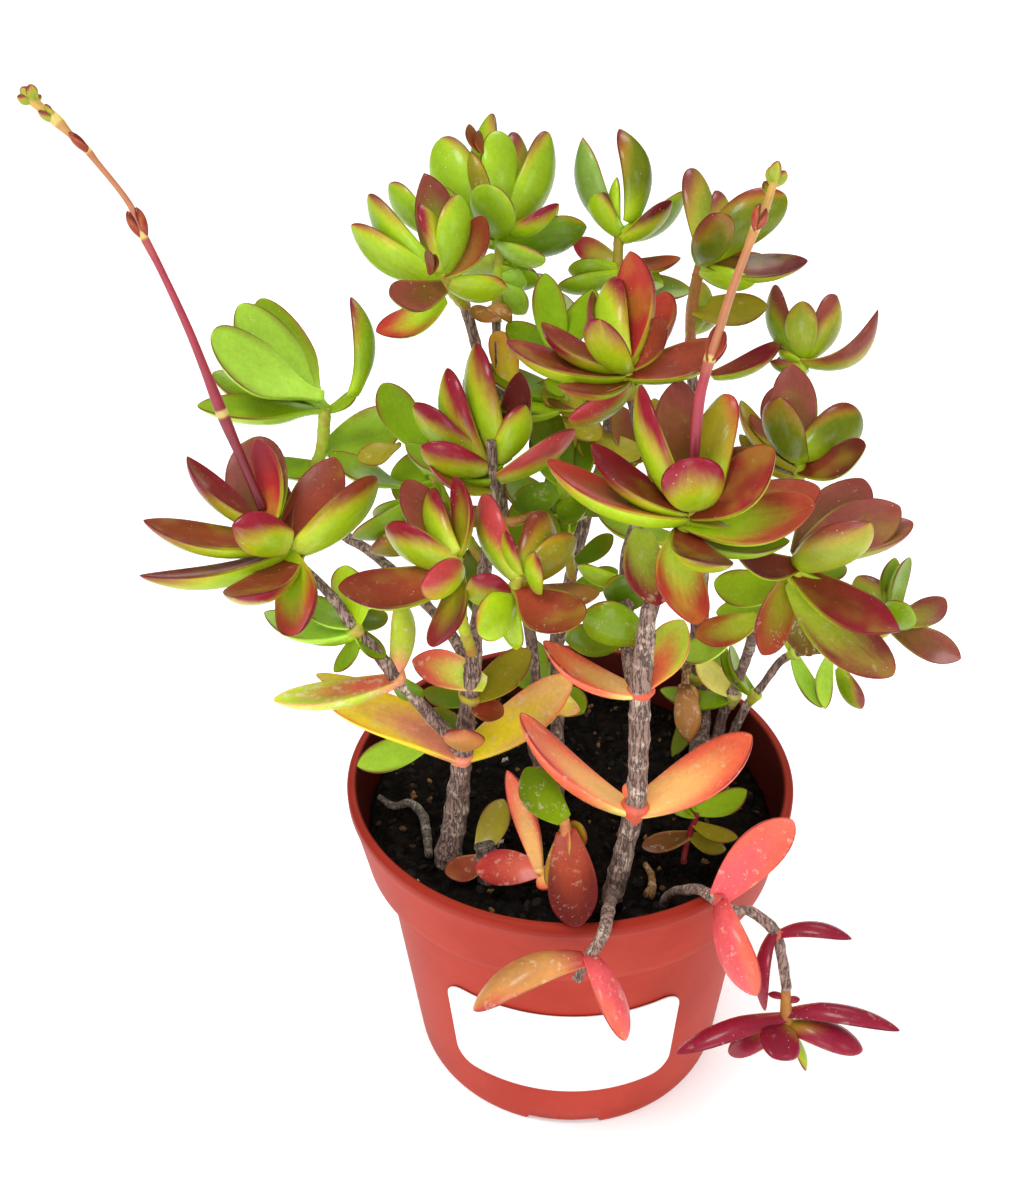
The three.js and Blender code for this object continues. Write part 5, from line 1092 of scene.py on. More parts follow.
# %% The low green shoot
shoot("rosette_green_low", core=[(572, 578, 10.8), (566, 530, 6), (560, 480, 4)],
      long=19, girth=2.2, leaves=[
    leaf((512, 506), 32, 2, "speckled", lean=-0.2, long=15),
    leaf((519, 496), 50, 0, "leafgreen", start=(555, 562, -2), lean=0.2, long=17, wide=11),
    leaf((577, 520), 34, 4, "speckled", lean=-0.8, long=14),
    leaf((534, 432), 26, 1, "leafgreen", lean=0.6, long=15),
    leaf((546, 408), 42, 2, "shade", start=(562, 486, 7), lean=0.3, long=19, wide=11),
    leaf((580, 424), 36, 4, "shade", start=(570, 492, 8), lean=0.5, long=18, wide=10),
    leaf((620, 500), 30, 5, "shade", lean=0.5, long=15),
    leaf((540, 556), 24, 10, "leafgreen", lean=-0.4, long=12),
    leaf((597, 512), 24, 8, "lime", start=(676, 538, -10), lean=0.3, long=20, wide=7),
    leaf((613, 535), 20, 8, "shade", start=(577, 562, 6), lean=0.1, long=10, wide=6),
    leaf((618, 570), 24, 8, "leafgreen", start=(576, 588, 6), lean=0.2, long=12, wide=7),
    hidden_leaf(40, 5, 8, "leafgreen"),
    hidden_leaf(-40, 10, 10, "leafgreen"),
    hidden_leaf(0, 25, 14, "lime"),
])

# %% [markdown]
# ### Shoots on the right
# The right side carries the largest and darkest leaves, from lime through olive to maroon. A leaf
# whose foot is hidden starts from a place of its own instead of the core, so that its blade lies
# where the photograph shows it.

# %% Shoots on the right
shoot("rosette_right_upper", core=[(795, 392, 18), (800, 375, 21), (804, 358, 23)],
      long=19, girth=2.2, leaves=[
    leaf((774, 285), 25, 0, "mauvegreen", lean=0.8, bow=0.12, toward=(1, 0)),
    leaf((802, 301), 40, 0, "mauvecap", lean=-0.2, long=15, back=True),
    leaf((836, 295), 30, 0, "duskcap", lean=0.8, back=True),
    leaf((878, 309), 19, 1, "duskcap", lean=0.1, bow=0.24, point=0.9),
    leaf((770, 362), 13, 2, "duskface", lean=0, long=8, wide=4),
    leaf((778, 347), 15, 1, "maroonface", lean=0.4, long=8, wide=4),
    hidden_leaf(0, 20, 2, "mauvegreen", long=15),
])

# %% The right shoot
shoot("rosette_right", core=[(798, 488, 1), (799, 468, 0), (801, 450, 0)],
      long=21, girth=2.6, leaves=[
    leaf((792, 364), 44, 0, "duskface", lean=0.7),
    leaf((780, 397), 38, 2, "mosscap", lean=-0.9, long=20, back=True),
    leaf((860, 412), 46, 1, "mosscap", lean=0.7, back=True, point=0.5),
    leaf((866, 446), 34, 4, "maroonface", lean=-0.4),
    leaf((758, 440), 22, 2, "duskface", lean=0.4, long=12),
    leaf((750, 414), 15, 1, "duskface", lean=0.6, long=15),
    leaf((741, 400), 20, 4, "olive", lean=0.8, long=20),
    leaf((740, 434), 18, 6, "olive", lean=0.8, long=17),
    hidden_leaf(10, 25, 2, "mauvebrown"),
    hidden_leaf(-40, 10, 5, "green"),
])

# %% The large shoot in front on the right
shoot("rosette_right_centre", core=[
    (661, 590, -32), (671, 560, -33), (684, 528, -34), (692, 502, -35),
], long=25, girth=3, leaves=[
    leaf((591, 444), 30, 2, "crimsonface", lean=0.1),
    leaf((547, 460), 32, 3, "orangeface", lean=0.2, long=28),
    leaf((689, 458), 68, 4, "halfcap", start=(697, 508, -36), lean=-0.9, long=13,
         wide=10.8, neck=0.6, point=0.5, back=True),
    leaf((640, 385), 27, 1, "crimsoncap", lean=0.3, back=True),
    leaf((682, 380), 52, 0, "duskface", lean=0.8, long=27, wide=12),
    leaf((724, 394), 41, 0, "olivered", start=(713, 496, -34), lean=0.6, back=True),
    leaf((775, 450), 50, 2, "crimsonface", lean=-0.4, long=22, wide=12),
    leaf((749, 447), 48, 1, "maroonface", lean=0.7, long=22),
    leaf((815, 505), 50, 4, "limeband", lean=-0.2, wide=12),
    leaf((820, 488), 48, 3, "roseface", lean=0.5, long=27, wide=12),
    leaf((724, 565), 34, 6, "maroonface", lean=-1, long=20),
    leaf((693, 624), 50, 7, "limetongue", lean=-0.5, long=23, wide=12),
    leaf((790, 541), 28, 7, "leafgreen", lean=0.2, long=21),
    leaf((656, 606), 46, 9, "scarred", start=(642, 530, -27), lean=-0.5, long=18, wide=11),
    hidden_leaf(10, 25, 4, "redlime"),
])

# %% The shoot that leans to the front right
shoot("rosette_front_right", core=[(788, 590, -25), (795, 575, -26), (802, 556, -27)],
      long=24, girth=2.8, leaves=[
    leaf((738, 557), 30, 2, "maroonface", lean=-0.6, long=17),
    leaf((901, 631), 44, 4, "crimsonface", lean=-0.3, point=1.1),
    leaf((893, 676), 54, 6, "rosetongue", lean=-0.1, long=27, wide=12),
    leaf((762, 655), 36, 6, "tanred", lean=-0.7, long=18, neck=0.55),
    leaf((900, 506), 54, 1, "mauvegreen", start=(806, 552, -27), lean=0.5, wide=12, bow=0.04),
    leaf((912, 521), 36, 2, "mauvegreen", start=(806, 555, -27), lean=0.6, long=26, wide=11,
         bow=0.0),
    leaf((871, 522), 44, 2, "mauvecap", lean=-0.9, long=21, back=True),
    leaf((862, 478), 54, 0, "duskface", lean=0.9, wide=12, bow=0.02),
    leaf((714, 582), 38, 5, "limecap", start=(784, 588, -20), lean=0.3, long=19, wide=9),
    leaf((716, 612), 26, 6, "limecap", start=(782, 590, -15), lean=0.5, long=19, wide=8),
    leaf((695, 636), 32, 7, "limetongue", start=(757, 618, -18), lean=-0.1, long=15, wide=8),
    leaf((812, 656), 30, 7, "damaged", lean=0.5, long=18),
    leaf((805, 630), 24, 6, "yellow", lean=0.8, long=16),
    leaf((846, 566), 24, 3, "lime", lean=0.8, long=15),
    leaf((677, 655), 26, 7, "palelime", start=(728, 640, -20), lean=0.2, long=12, wide=8),
])

# %% The farthest shoot on the right
shoot("rosette_far_right", core=[(872, 640, 8), (886, 632, 7), (899, 622, 6)],
      long=16, girth=1.8, leaves=[
    leaf((910, 557), 17, 1, "leafgreen", lean=0.4),
    leaf((945, 598), 28, 0, "mauvecap", lean=0.8),
    leaf((908, 604), 36, 1, "green", lean=-1, long=13, wide=8, back=True),
    leaf((961, 659), 32, 2, "duskface", lean=0),
    leaf((857, 576), 34, 3, "mauvecap", lean=0.4, long=17, back=True),
    hidden_leaf(20, 25, 1, "green"),
])

# %% [markdown]
# ### Old pairs on the stems
# Lower down, single old pairs of leaves hang on to the bark. They are yellow, coral or pink and
# crusted with pale specks, because the plant is drawing their water back. The wear could be a
# second material, but it comes and goes from leaf to leaf, so it is one more value of each kind.

# %% Old pairs on the stems
shoot("pair_front_left", core=[(460, 768, -18), (462, 752, -18)],
      long=30, girth=6, tone=PINK, leaves=[
    leaf((325, 700), 42, 1, "yellow", lean=0, wide=12, bow=-0.07),
    leaf((573, 675), 44, 1, "yelloworange", lean=0, wide=11),
    leaf((465, 729), 46, 0, "orangebrown", start=(463, 748, -22), lean=-0.95, long=10, wide=9,
         back=True),
    leaf((357, 766), 32, 2.5, "palelime", start=(432, 739, -12), lean=0.3, long=16, wide=8),
    leaf((432, 708), 34, 0, "shade", lean=0.8, long=17, wide=8),
])
shoot("pair_front_left_upper", core=[(468, 706, -17.5), (471, 694, -17.3)],
      long=20, girth=5.6, leaves=[
    leaf((531, 651), 36, 1, "olive", lean=-0.3),
    leaf((412, 660), 38, 1, "pinkyellow", start=(485, 684, -18), lean=-0.4, long=15, wide=8),
    leaf((503, 716), 24, 2, "orangebrown", lean=-0.8, long=9, wide=6),
    leaf((424, 690), 22, 2, "shade", lean=0.6, long=13),
])

# %% Pairs on the left branch
shoot("pair_left_branch", core=[(402, 684, -23.4), (394, 675, -24)],
      long=26, girth=4.8, leaves=[
    leaf((273, 700), 28, 1, "oldlime", lean=0, wide=9, bow=0.02),
    leaf((403, 600), 26, 0, "oldlime", lean=0.6, long=19, wide=7, back=True),
    leaf((316, 674), 18, 2, "yellow", lean=0.5, long=20, wide=7),
    leaf((420, 700), 22, 1, "shade", lean=0.8, long=10, wide=6),
])
shoot("pair_left_branch_upper", core=[(360, 635, -25.8), (352, 626, -26)],
      long=16, girth=4.4, leaves=[
    leaf((346, 565), 38, 0, "limecap", lean=-0.5, long=15, wide=9),
    leaf((306, 596), 26, 0, "palelime", lean=0.4, long=14, wide=8),
    leaf((386, 612), 22, 0, "shade", lean=0.7, long=11, wide=6),
    leaf((297, 634), 16, 2, "leafgreen", lean=0.6, long=15, wide=6),
    leaf((334, 672), 17, 2, "leafgreen", lean=0.4, long=11, wide=5),
    leaf((264, 612), 28, 1, "palelime", lean=0.8, long=20, wide=8),
    leaf((386, 656), 20, 1, "leafgreen", lean=0.4, long=11, wide=6),
])

# %% Pairs on the front right stem
shoot("pair_front_right_low", core=[(632, 822, -34.2), (636, 802, -34)],
      long=29, girth=6.2, tone=RUST, leaves=[
    leaf((520, 713), 30, 2, "coral", lean=0.1, wide=11),
    leaf((752, 735), 48, 2, "coral", lean=0.1, wide=12),
    leaf((633, 782), 20, 1, "coral", lean=-0.9, long=7, wide=5),
])
shoot("pair_front_right_high", core=[(640, 700, -33), (641, 688, -33)],
      long=22, girth=5.8, tone=RUST, leaves=[
    leaf((543, 641), 28, 1, "coral", lean=-0.2, wide=9),
    leaf((684, 620), 42, 1, "limeorange", lean=-0.1, long=18, wide=10, waist=1.7, neck=0.25),
])
shoot("pair_front_right_branch", core=[(627, 640, -25.5), (627, 615, -22.5)],
      long=17, girth=4.8, leaves=[
    leaf((584, 612), 46, 3, "speckled", start=(642, 638, -27), lean=-0.3, long=16, wide=10),
    leaf((603, 592), 38, 1, "shade", start=(652, 590, -20), lean=0, long=14, wide=9),
    leaf((565, 640), 34, 4, "shade", lean=0.4, long=17, wide=9),
    leaf((577, 566), 18, 1, "lime", start=(626, 582, -15), lean=0.3, long=13, wide=6),
])

# %% Pairs on the right stems
shoot("pair_right_stem", core=[(730, 707, 24.5), (735, 692, 23.5)],
      long=15, girth=4.2, leaves=[
    leaf((697, 657), 24, 1, "paleyellow", lean=-0.3, wide=7),
    leaf((660, 690), 20, 2, "leafgreen", lean=0.2, wide=7),
])
shoot("pair_far_right_stem", core=[(749, 703, 20.5), (757, 692, 20.7)],
      long=14, girth=3.8, leaves=[
    leaf((722, 652), 18, 1, "leafgreen", lean=0, wide=6),
    hidden_leaf(60, 30, 1, "leafgreen"),
])
shoot("pair_far_right_hanging", core=[(788, 656, 18.5), (797, 652, 17.5)],
      long=13, girth=3.6, leaves=[
    leaf((822, 708), 18, 1, "palelime", lean=0.3, wide=5),
    leaf((825, 709), 18, 0, "palelime", start=(830, 656, 15), lean=0.2, long=14, wide=5),
    leaf((788, 610), 18, 1, "lime", lean=0.3, long=11, wide=6),
])
shoot("pair_far_right_end", core=[(836, 650, 12), (845, 647, 11)],
      long=14, girth=3.4, leaves=[
    leaf((862, 709), 20, 0, "duskgreen", start=(839, 668, 12), lean=0.3, long=11, wide=6,
         back=True),
    hidden_leaf(20, 20, 1, "green"),
])

# %% Pairs on the trunks
shoot("pair_right_trunk", core=[(700, 690, 31), (699, 672, 31)],
      long=17, girth=6, leaves=[
    leaf((672, 757), 20, 1, "shade", lean=-0.4, wide=6),
    leaf((722, 640), 30, 0, "leafgreen", lean=0.6, wide=8),
    hidden_leaf(20, 20, 1, "leafgreen", wide=8),
])
shoot("pair_back_trunk", core=[(560, 700, 13), (558, 684, 14)],
      long=18, girth=5.6, leaves=[
    leaf((584, 713), 30, 1, "leafgreen", lean=-0.2, long=10, wide=7),
    leaf((566, 716), 34, 2, "yelloworange", lean=-0.7, long=15, wide=9),
    hidden_leaf(30, 15, 1, "leafgreen"),
])
shoot("pair_back_left_trunk", core=[(536, 700, 9), (535, 686, 9.6)],
      long=16, girth=4.6, leaves=[
    leaf((500, 655), 20, 1, "leafgreen", lean=0.2, long=12, wide=6),
    hidden_leaf(0, 25, 1, "leafgreen"),
])

# %% [markdown]
# ### Small and trailing shoots
# Short shoots sprout from the soil, and two limp stems hang over the rim with a pair of leaves at
# each joint. A hanging stem could be left to a simulation, but it has long since set in its curve,
# so its pairs are placed by sight like the others.

# %% Small and trailing shoots
shoot("shoot_front_small", core=[(559, 886, -30.5), (548, 876, -31), (538, 868, -33)],
      long=20, girth=2.6, root=(560, 893), leaves=[
    leaf((507, 770), 24, 0, "coral", lean=0.2, long=21, wide=6),
    leaf((475, 868), 36, 1, "crimsonred", lean=-0.2, long=14, wide=8),
    leaf((549, 888), 24, 2, "coral", lean=-1, long=9, wide=5),
])
shoot("shoot_front_dark", core=[(574, 873, -31), (568, 840, -32), (564, 820, -32)],
      long=18, girth=2.6, root=(574, 895), leaves=[
    leaf((525, 768), 40, 0, "darkgreen", lean=0, long=15, wide=9.5),
    leaf((578, 926), 50, 3, "purplered", lean=-0.9, long=24, wide=10.5),
    leaf((548, 886), 22, 2, "olivepink", lean=-0.2, long=13, wide=6),
    leaf((581, 824), 24, 9, "olivepink", lean=-0.6, long=12, wide=6),
])
shoot("shoot_right_small", core=[(684, 858, -20), (689, 836, -18.5), (698, 812, -17)],
      long=11, girth=1.4, root=(684, 862), tone=CRIMSON, leaves=[
    leaf((747, 790), 24, 0, "green", lean=0.4, long=13, wide=6),
    leaf((692, 790), 15, 0, "leafgreen", lean=0.5, long=9, wide=4.5),
    leaf((668, 797), 20, 1, "leafgreen", lean=0.4, long=10, wide=6),
    leaf((738, 838), 16, 3, "olive", lean=0, long=10, wide=5),
    leaf((726, 850), 18, 6, "olive", lean=0.3, long=10, wide=5),
    leaf((642, 847), 20, 6, "oldbrown", lean=0.3, long=11, wide=5.5),
    hidden_leaf(10, 25, 1, "green"),
])

# %% The two hanging stems
shoot("trailing_front", core=[(592, 950, -57), (586, 960, -57.8)],
      long=24, girth=3.6, leaves=[
    leaf((473, 1010), 32, 0, "olivepink", lean=0.1, long=25, wide=9),
    leaf((625, 1041), 28, 1, "pinkred", lean=-0.3, long=21, wide=8),
])
shoot("trailing_right_upper", core=[(712, 896, -45.8), (721, 902, -46.9)],
      long=20, girth=3.6, leaves=[
    leaf((793, 820), 44, 1, "pinkred", lean=0.2, long=22, wide=10),
    leaf((757, 996), 36, 0, "pinkred", lean=-0.2, long=22, wide=9),
])
shoot("trailing_right_middle", core=[(772, 928, -44.5), (778, 936, -44.8)],
      long=17, girth=3.2, leaves=[
    leaf((852, 939), 16, 0, "crimson", lean=0, long=17, wide=6),
    leaf((765, 1011), 14, 1, "crimson", lean=0, long=17, wide=6),
])
shoot("trailing_right_end", core=[(786, 979, -45), (786, 1005, -45), (787, 1030, -46)],
      long=22, girth=3, leaves=[
    leaf((676, 1054), 20, 3, "crimson", lean=-0.1, long=26, wide=6.5, bow=0.02),
    leaf((900, 1031), 18, 4, "crimson", lean=0.1, long=25, wide=6.5, bow=0.05),
    leaf((728, 1052), 24, 1, "crimsonolive", lean=0.7, long=16, wide=7),
    leaf((863, 1050), 28, 1, "crimsonolive", lean=0.3, long=18, wide=7.5),
    leaf((772, 1058), 44, 1, "crimsonolive", lean=-0.9, long=12, wide=9),
    leaf((806, 1071), 10, 0, "limered", lean=0.4, long=10, wide=4),
    leaf((768, 994), 7, 9, "crimson", lean=0, long=5, wide=2),
    leaf((800, 999), 7, 8, "crimson", lean=0, long=4.5, wide=2),
])

# %% [markdown]
# ### Trunks
# Each trunk is a thick limb from the soil with thinner limbs that leave it. A tree generator would
# give branches of its own choosing. Here the limbs run as smooth curves through the places where
# the bark shows between the leaves, with the thickness that shows there.

# %% A limb and a whole trunk
JOINT_OVERLAP = 1.2


def placed(limb):
    """The points of a limb in millimetres, with their diameters."""
    return [[*seen(step[:3]), step[3]] for step in limb]


def run_on(rows):
    """A limb carried on a little past its end, into the soft core that it bears."""
    last, before = np.array(rows[-1]), np.array(rows[-2])
    way = unit(last[:3] - before[:3])
    return rows + [[*(last[:3] + way * JOINT_OVERLAP), last[3]]]


def stem(name, root, limbs):
    """One trunk with its branches as one piece."""
    luck = luck_of(name)
    skins = Skins()
    for order, limb in enumerate(limbs):
        rows = run_on(placed(limb))
        rows = root_points(root, rows[0][3]) + rows if order == 0 else rows
        woody_skin(skins, rows, luck)
    return skins.piece(name + "_bark", [BARK], name)


# %% The trunks and branches
stem("stem_front_left", root=(448, 860), limbs=[
    [
        (452, 835, -19, 5.6), (455, 820, -18, 5.4), (462, 757, -18, 4.4), (466, 719, -18, 3.9),
        (472, 680, -17, 3.5), (475, 641, -16, 3.3), (481, 600, -13, 3), (486, 560, -11, 2.8),
        (493, 512, -9, 2.5),
    ],
    [
        (461, 752, -18, 3), (447, 733, -19.5, 2.8), (430, 715, -21, 2.7), (410, 692, -23, 2.7),
        (397, 679, -24, 2.8), (375, 650, -25, 2.4), (352, 626, -26, 2.3), (335, 600, -26, 2),
        (301, 566, -25, 2),
    ],
    [
        (473, 676, -17, 2.6), (455, 640, -9, 2.4), (425, 603, -3, 2.3), (372, 553, 6, 2.3),
        (345, 536, 10, 2.2), (305, 512, 15, 2), (300, 498, 17, 2), (311, 477, 17.5, 2),
    ],
])
stem("stem_front_right", root=(612, 900), limbs=[
    [
        (620, 868, -33.8, 4.3), (628, 835, -34, 4.2), (635, 805, -34, 4.4), (639, 745, -33.5, 3.9),
        (640, 693, -33, 4.2), (645, 644, -33, 3.6), (651, 605, -32.5, 3.2), (659, 594, -32, 3),
    ],
    [
        (640, 700, -32.5, 3.2), (631, 668, -29, 3), (627, 640, -25.5, 2.8), (627, 600, -21, 2.7),
        (627, 555, -16, 2.6), (640, 515, -13.5, 2.5), (655, 470, -12.5, 2.5), (641, 430, -13, 2.4),
        (633, 402, -14, 2.3),
    ],
    [
        (613, 893, -34.5, 3), (611, 899, -41, 2.7), (608, 911, -50, 2.5), (605, 928, -54.8, 2.5),
        (598, 944, -57, 2.4), (586, 960, -57.8, 2.4), (579, 975, -58, 1.8),
    ],
])

# %% The two thin trunks behind
stem("stem_back_left", root=(539, 790), limbs=[
    [
        (540, 770, 5, 3), (532, 738, 8, 2.8), (536, 690, 9.5, 2.7), (528, 620, 12, 2.6),
        (512, 560, 14.5, 2.4), (499, 480, 19, 2.3), (487, 420, 20, 2.3), (476, 345, 21.5, 2.2),
        (466, 310, 21.5, 2.2),
    ],
    [(494, 455, 19.5, 2.2), (500, 400, 22, 2), (497, 350, 24.5, 2), (496, 318, 25, 2)],
])
stem("stem_back", root=(557, 806), limbs=[
    [
        (556, 770, 4, 3.6), (557, 735, 9, 3.4), (558, 690, 13.5, 3.1), (556, 640, 17, 3),
        (575, 560, 22, 2.7), (604, 450, 29, 2.5), (614, 360, 33, 2.2), (619, 296, 34, 2),
    ],
    [(558, 650, 16, 2.4), (566, 610, 13, 2.3), (572, 574, 10.5, 2.1)],
    [(570, 582, 20.5, 2.3), (577, 530, 19, 2.1), (578, 474, 18, 2)],
])

# %% The stems on the right
stem("stem_right_trunk", root=(700, 764), limbs=[
    [
        (700, 736, 22.5, 5), (702, 700, 29, 4.8), (699, 660, 32, 4.6), (700, 590, 32, 4.2),
        (700, 500, 33, 3.4), (696, 420, 33, 2.8), (690, 356, 33, 2.4),
    ],
    [
        (700, 570, 32, 3.2), (725, 520, 25, 2.9), (752, 500, 12, 2.7), (782, 500, 3, 2.5),
        (797, 492, 1, 2.3),
    ],
    [(727, 518, 25, 2.6), (748, 470, 22, 2.4), (775, 425, 18.5, 2.2), (794, 396, 18, 2)],
])
stem("stem_right", root=(713, 752), limbs=[
    [
        (719, 731, 24.5, 3), (723, 714, 25, 3), (733, 692, 23.5, 2.7), (748, 653, 19, 2.5),
        (755, 628, 10, 2.4), (770, 604, -10, 2.3), (785, 594, -24, 2.3),
    ],
])
stem("stem_far_right", root=(728, 750), limbs=[
    [
        (733, 734, 21, 2.4), (747, 705, 20.5, 2.1), (762, 686, 21, 2), (781, 661, 19.5, 1.9),
        (796, 653, 17.5, 1.9), (840, 649, 11.5, 1.8), (868, 641, 8.5, 1.7),
    ],
])
stem("stem_trailing_right", root=(664, 904), limbs=[
    [
        (672, 893, -36, 2), (684, 890, -40.5, 2), (701, 890, -43.6, 2.1), (716, 900, -46.6, 2.2),
        (733, 910, -47, 2.2), (750, 911, -44.8, 2.1), (775, 932, -44.7, 2.3), (782, 958, -45, 2.1),
        (786, 984, -45, 2.1),
    ],
])

# %% [markdown]
# ## Flower stalks
# Two thin stalks carry the buds. They are crimson at the foot and turn orange pink higher up, with
# a pale swelling at each joint and a pair of small bracts there. A curve with a bevel would give the
# rod, but the colour has to follow its length, so it is a skin that carries how far along it is.

# %% The stalks
def stalk_finish():
    rod = Finish("flower_stalk", Coat_Roughness=0.3, Coat_Weight=0.2)
    cloud = rod.noise(400, 3) - 0.5
    ripe = rod.carried("ripe") + cloud * 0.1
    colour = rod.tint(rod.rise(ripe, 0.0, 0.4), rgb(104, 10, 26), rgb(158, 44, 60))
    colour = rod.tint(rod.rise(ripe, 0.42, 0.6), colour, rgb(172, 108, 68))
    colour = rod.tint(rod.rise(ripe, 0.75, 1.0), colour, rgb(190, 150, 62))
    colour = rod.tint(rod.rise(rod.carried("scar"), 0.25, 0.8) * 0.8, colour, rgb(206, 190, 104))
    return rod.paint(Base_Color=rod.shade(colour, 1 + cloud * 0.4), Roughness=0.42 + cloud * 0.1,
                     Normal=rod.bumps(rod.noise(900, 2), 0.0002, 0.4))


FLOWER_STALK = stalk_finish()

# %% A stalk or a dead piece
STALK_SIDES, STALK_STEP, SWELLING_REACH, DEAD_JOINT_SPACING = 14, 0.6, 0.8, 4.0


def stalk(name, long, limb, leaves, root=None, finish=None, ripens=0.5):
    """A flower stalk or a dead piece: a limb with small leaves on it."""
    luck = luck_of(name)
    rows = placed(limb)
    grows = unit(np.array(rows[-1][:3]) - rows[0][:3])
    skins = Skins()
    if finish is None:
        path = smooth_path(rows, STALK_STEP)
        share = np.linspace(0, 1, len(path))
        swollen = [here[3] > 1.08 * max(before[3], after[3])
                   for before, here, after in zip(rows, rows[1:], rows[2:])]
        places = [np.array(row[:3]) for row, there in zip(rows[1:], swollen) if there]
        scar = np.zeros(len(path))
        for place in places:
            away = np.linalg.norm(path[:, :3] - place, axis=1)
            scar = np.maximum(scar, np.exp(-(away / SWELLING_REACH) ** 2))
        ripe = np.interp(share, [0, ripens, 1], [0, 0.5, 1])
        marks = {"ripe": np.append(np.repeat(ripe, STALK_SIDES), [0, 1]),
                 "scar": np.append(np.repeat(scar, STALK_SIDES), [0, 0])}
        rings = round_rings(path[:, :3], path[:, 3] / 2, STALK_SIDES)
        skins.add(rings, marks=marks, finish=1)
    else:
        rows = root_points(root, rows[0][3]) + rows if root else rows
        woody_skin(skins, rows, luck, spacing=DEAD_JOINT_SPACING, finish=1)
    for grown in leaves:
        grow_leaf(skins, grown, None, grows, long, None, luck)
    return skins.piece(name + "_grown", [LEAF_FLESH, finish or FLOWER_STALK], name)


# %% Both stalks
stalk("flower_stalk_left", ripens=0.68, long=7, limb=[
    (263, 509, -25, 1.9), (240, 455, -25, 1.8), (222, 413, -25, 2.3), (205, 370, -24.5, 1.7),
    (188, 328, -24, 1.5), (160, 268, -23, 1.3), (143, 235, -22, 1.5), (130, 205, -21.5, 1.1),
    (95, 160, -20.5, 1.1), (87, 150, -20, 1.4), (70, 134, -20, 1.2), (56, 120, -20, 2.1),
    (40, 107, -20, 1.6), (30, 98, -20, 1.9),
], leaves=[
    leaf((210, 386), 9, 0, "crimson", start=(219, 408, -25), lean=0, long=5, wide=1.7),
    leaf((127, 211), 9, 0, "bract", start=(143, 238, -22), lean=0, long=6, wide=1.7),
    leaf((136, 207), 9, 0, "bract", start=(146, 236, -22), lean=0, long=7, wide=1.7),
    leaf((69, 132), 10, 0, "bract", start=(90, 153, -20), lean=0, long=6, wide=1.7),
    leaf((38, 111), 8, 0, "bud", start=(56, 120, -20), lean=0, long=5, wide=1.9),
    leaf((45, 104), 8, 0, "bud", start=(54, 117, -20), lean=0, long=4, wide=1.9),
    leaf((17, 97), 10, 0, "bud", start=(33, 101, -20), lean=0, long=4, wide=1.9),
    leaf((21, 87), 12, 0, "bud", start=(33, 101, -20), lean=0, long=4.5, wide=1.9),
    leaf((31, 84), 12, 0, "bud", start=(33, 101, -20), lean=-0.4, long=4.5, wide=1.9),
    leaf((38, 94), 8, 0, "bud", start=(33, 101, -20), lean=0.5, long=3.5, wide=1.9),
])
stalk("flower_stalk_right", ripens=0.42, long=7, limb=[
    (692, 496, -35, 2.1), (694, 458, -34.5, 2), (700, 396, -34, 1.9), (706, 372, -33.5, 1.8),
    (710, 358, -33, 2.1), (716, 340, -32.7, 1.8), (721, 324, -32.3, 1.6), (731, 293, -31.5, 1.5),
    (747, 250, -30, 1.4), (756, 227, -29, 1.7), (766, 207, -28, 1.4), (772, 188, -27.5, 1.3),
    (777, 174, -27, 1.8),
], leaves=[
    leaf((717, 325), 11, 0, "bract", start=(708, 360, -34), lean=-0.1, long=6.5, wide=2),
    leaf((725, 331), 9, 0, "bract", start=(713, 359, -34), lean=-0.1, long=6, wide=1.8),
    leaf((760, 203), 8, 0, "bract", start=(755, 229, -30), lean=-0.1, long=5, wide=1.6),
    leaf((766, 208), 7, 0, "bract", start=(758, 228, -30), lean=-0.1, long=4.6, wide=1.5),
    leaf((771, 166), 12, 0, "bud", start=(773, 186, -27), lean=0, long=5, wide=2),
    leaf((779, 161), 12, 0, "bud", start=(774, 184, -27), lean=-0.4, long=6, wide=2.2),
    leaf((786, 171), 12, 0, "bud", start=(774, 186, -27), lean=0, long=5, wide=2),
    leaf((764, 181), 9, 0, "bud", start=(771, 194, -27), lean=0, long=4, wide=1.6),
])

# %% Dead pieces
stalk("dead_twig", finish=DEAD_BARK, long=8, limb=[
    (429, 856, -21.4, 1.8), (427, 836, -14.4, 2), (422, 814, -7, 2.2), (409, 803, -3, 2),
    (394, 806, -4.2, 1.8), (379, 797, -1, 1.2),
], leaves=[])
stalk("dried_curl", finish=DRY_LEAF, long=9, limb=[
    (645, 864, -22.4, 1.2), (651, 874, -25.8, 1.4), (652, 886, -29.6, 1.8), (649, 895, -33, 2.4),
], leaves=[])
stalk("grey_stub", finish=DEAD_BARK, long=12, root=(487, 878), limb=[
    (487, 876, -26, 4.4), (488, 860, -25.5, 4.6), (484, 845, -25, 4.2),
], leaves=[
    leaf((504, 799), 30, 0, "olive", start=(480, 852, -25.5), lean=0.2, long=12.5, wide=7),
    leaf((445, 873), 26, 0, "orangebrown", start=(486, 859, -25.5), lean=-0.3, long=11, wide=6.5),
])
stalk("dried_leaf_hanging", finish=DRY_LEAF, long=18, limb=[
    (688, 662, 26.3, 2.2), (686, 676, 25.8, 2.2), (685, 690, 25.4, 2.4),
], leaves=[
    leaf((690, 742), 30, 0, "dried", start=(684, 684, 25.5), lean=0, long=14, wide=7),
    leaf((699, 702), 12, 0, "dried", start=(688, 684, 25.5), lean=0, long=6, wide=3),
])
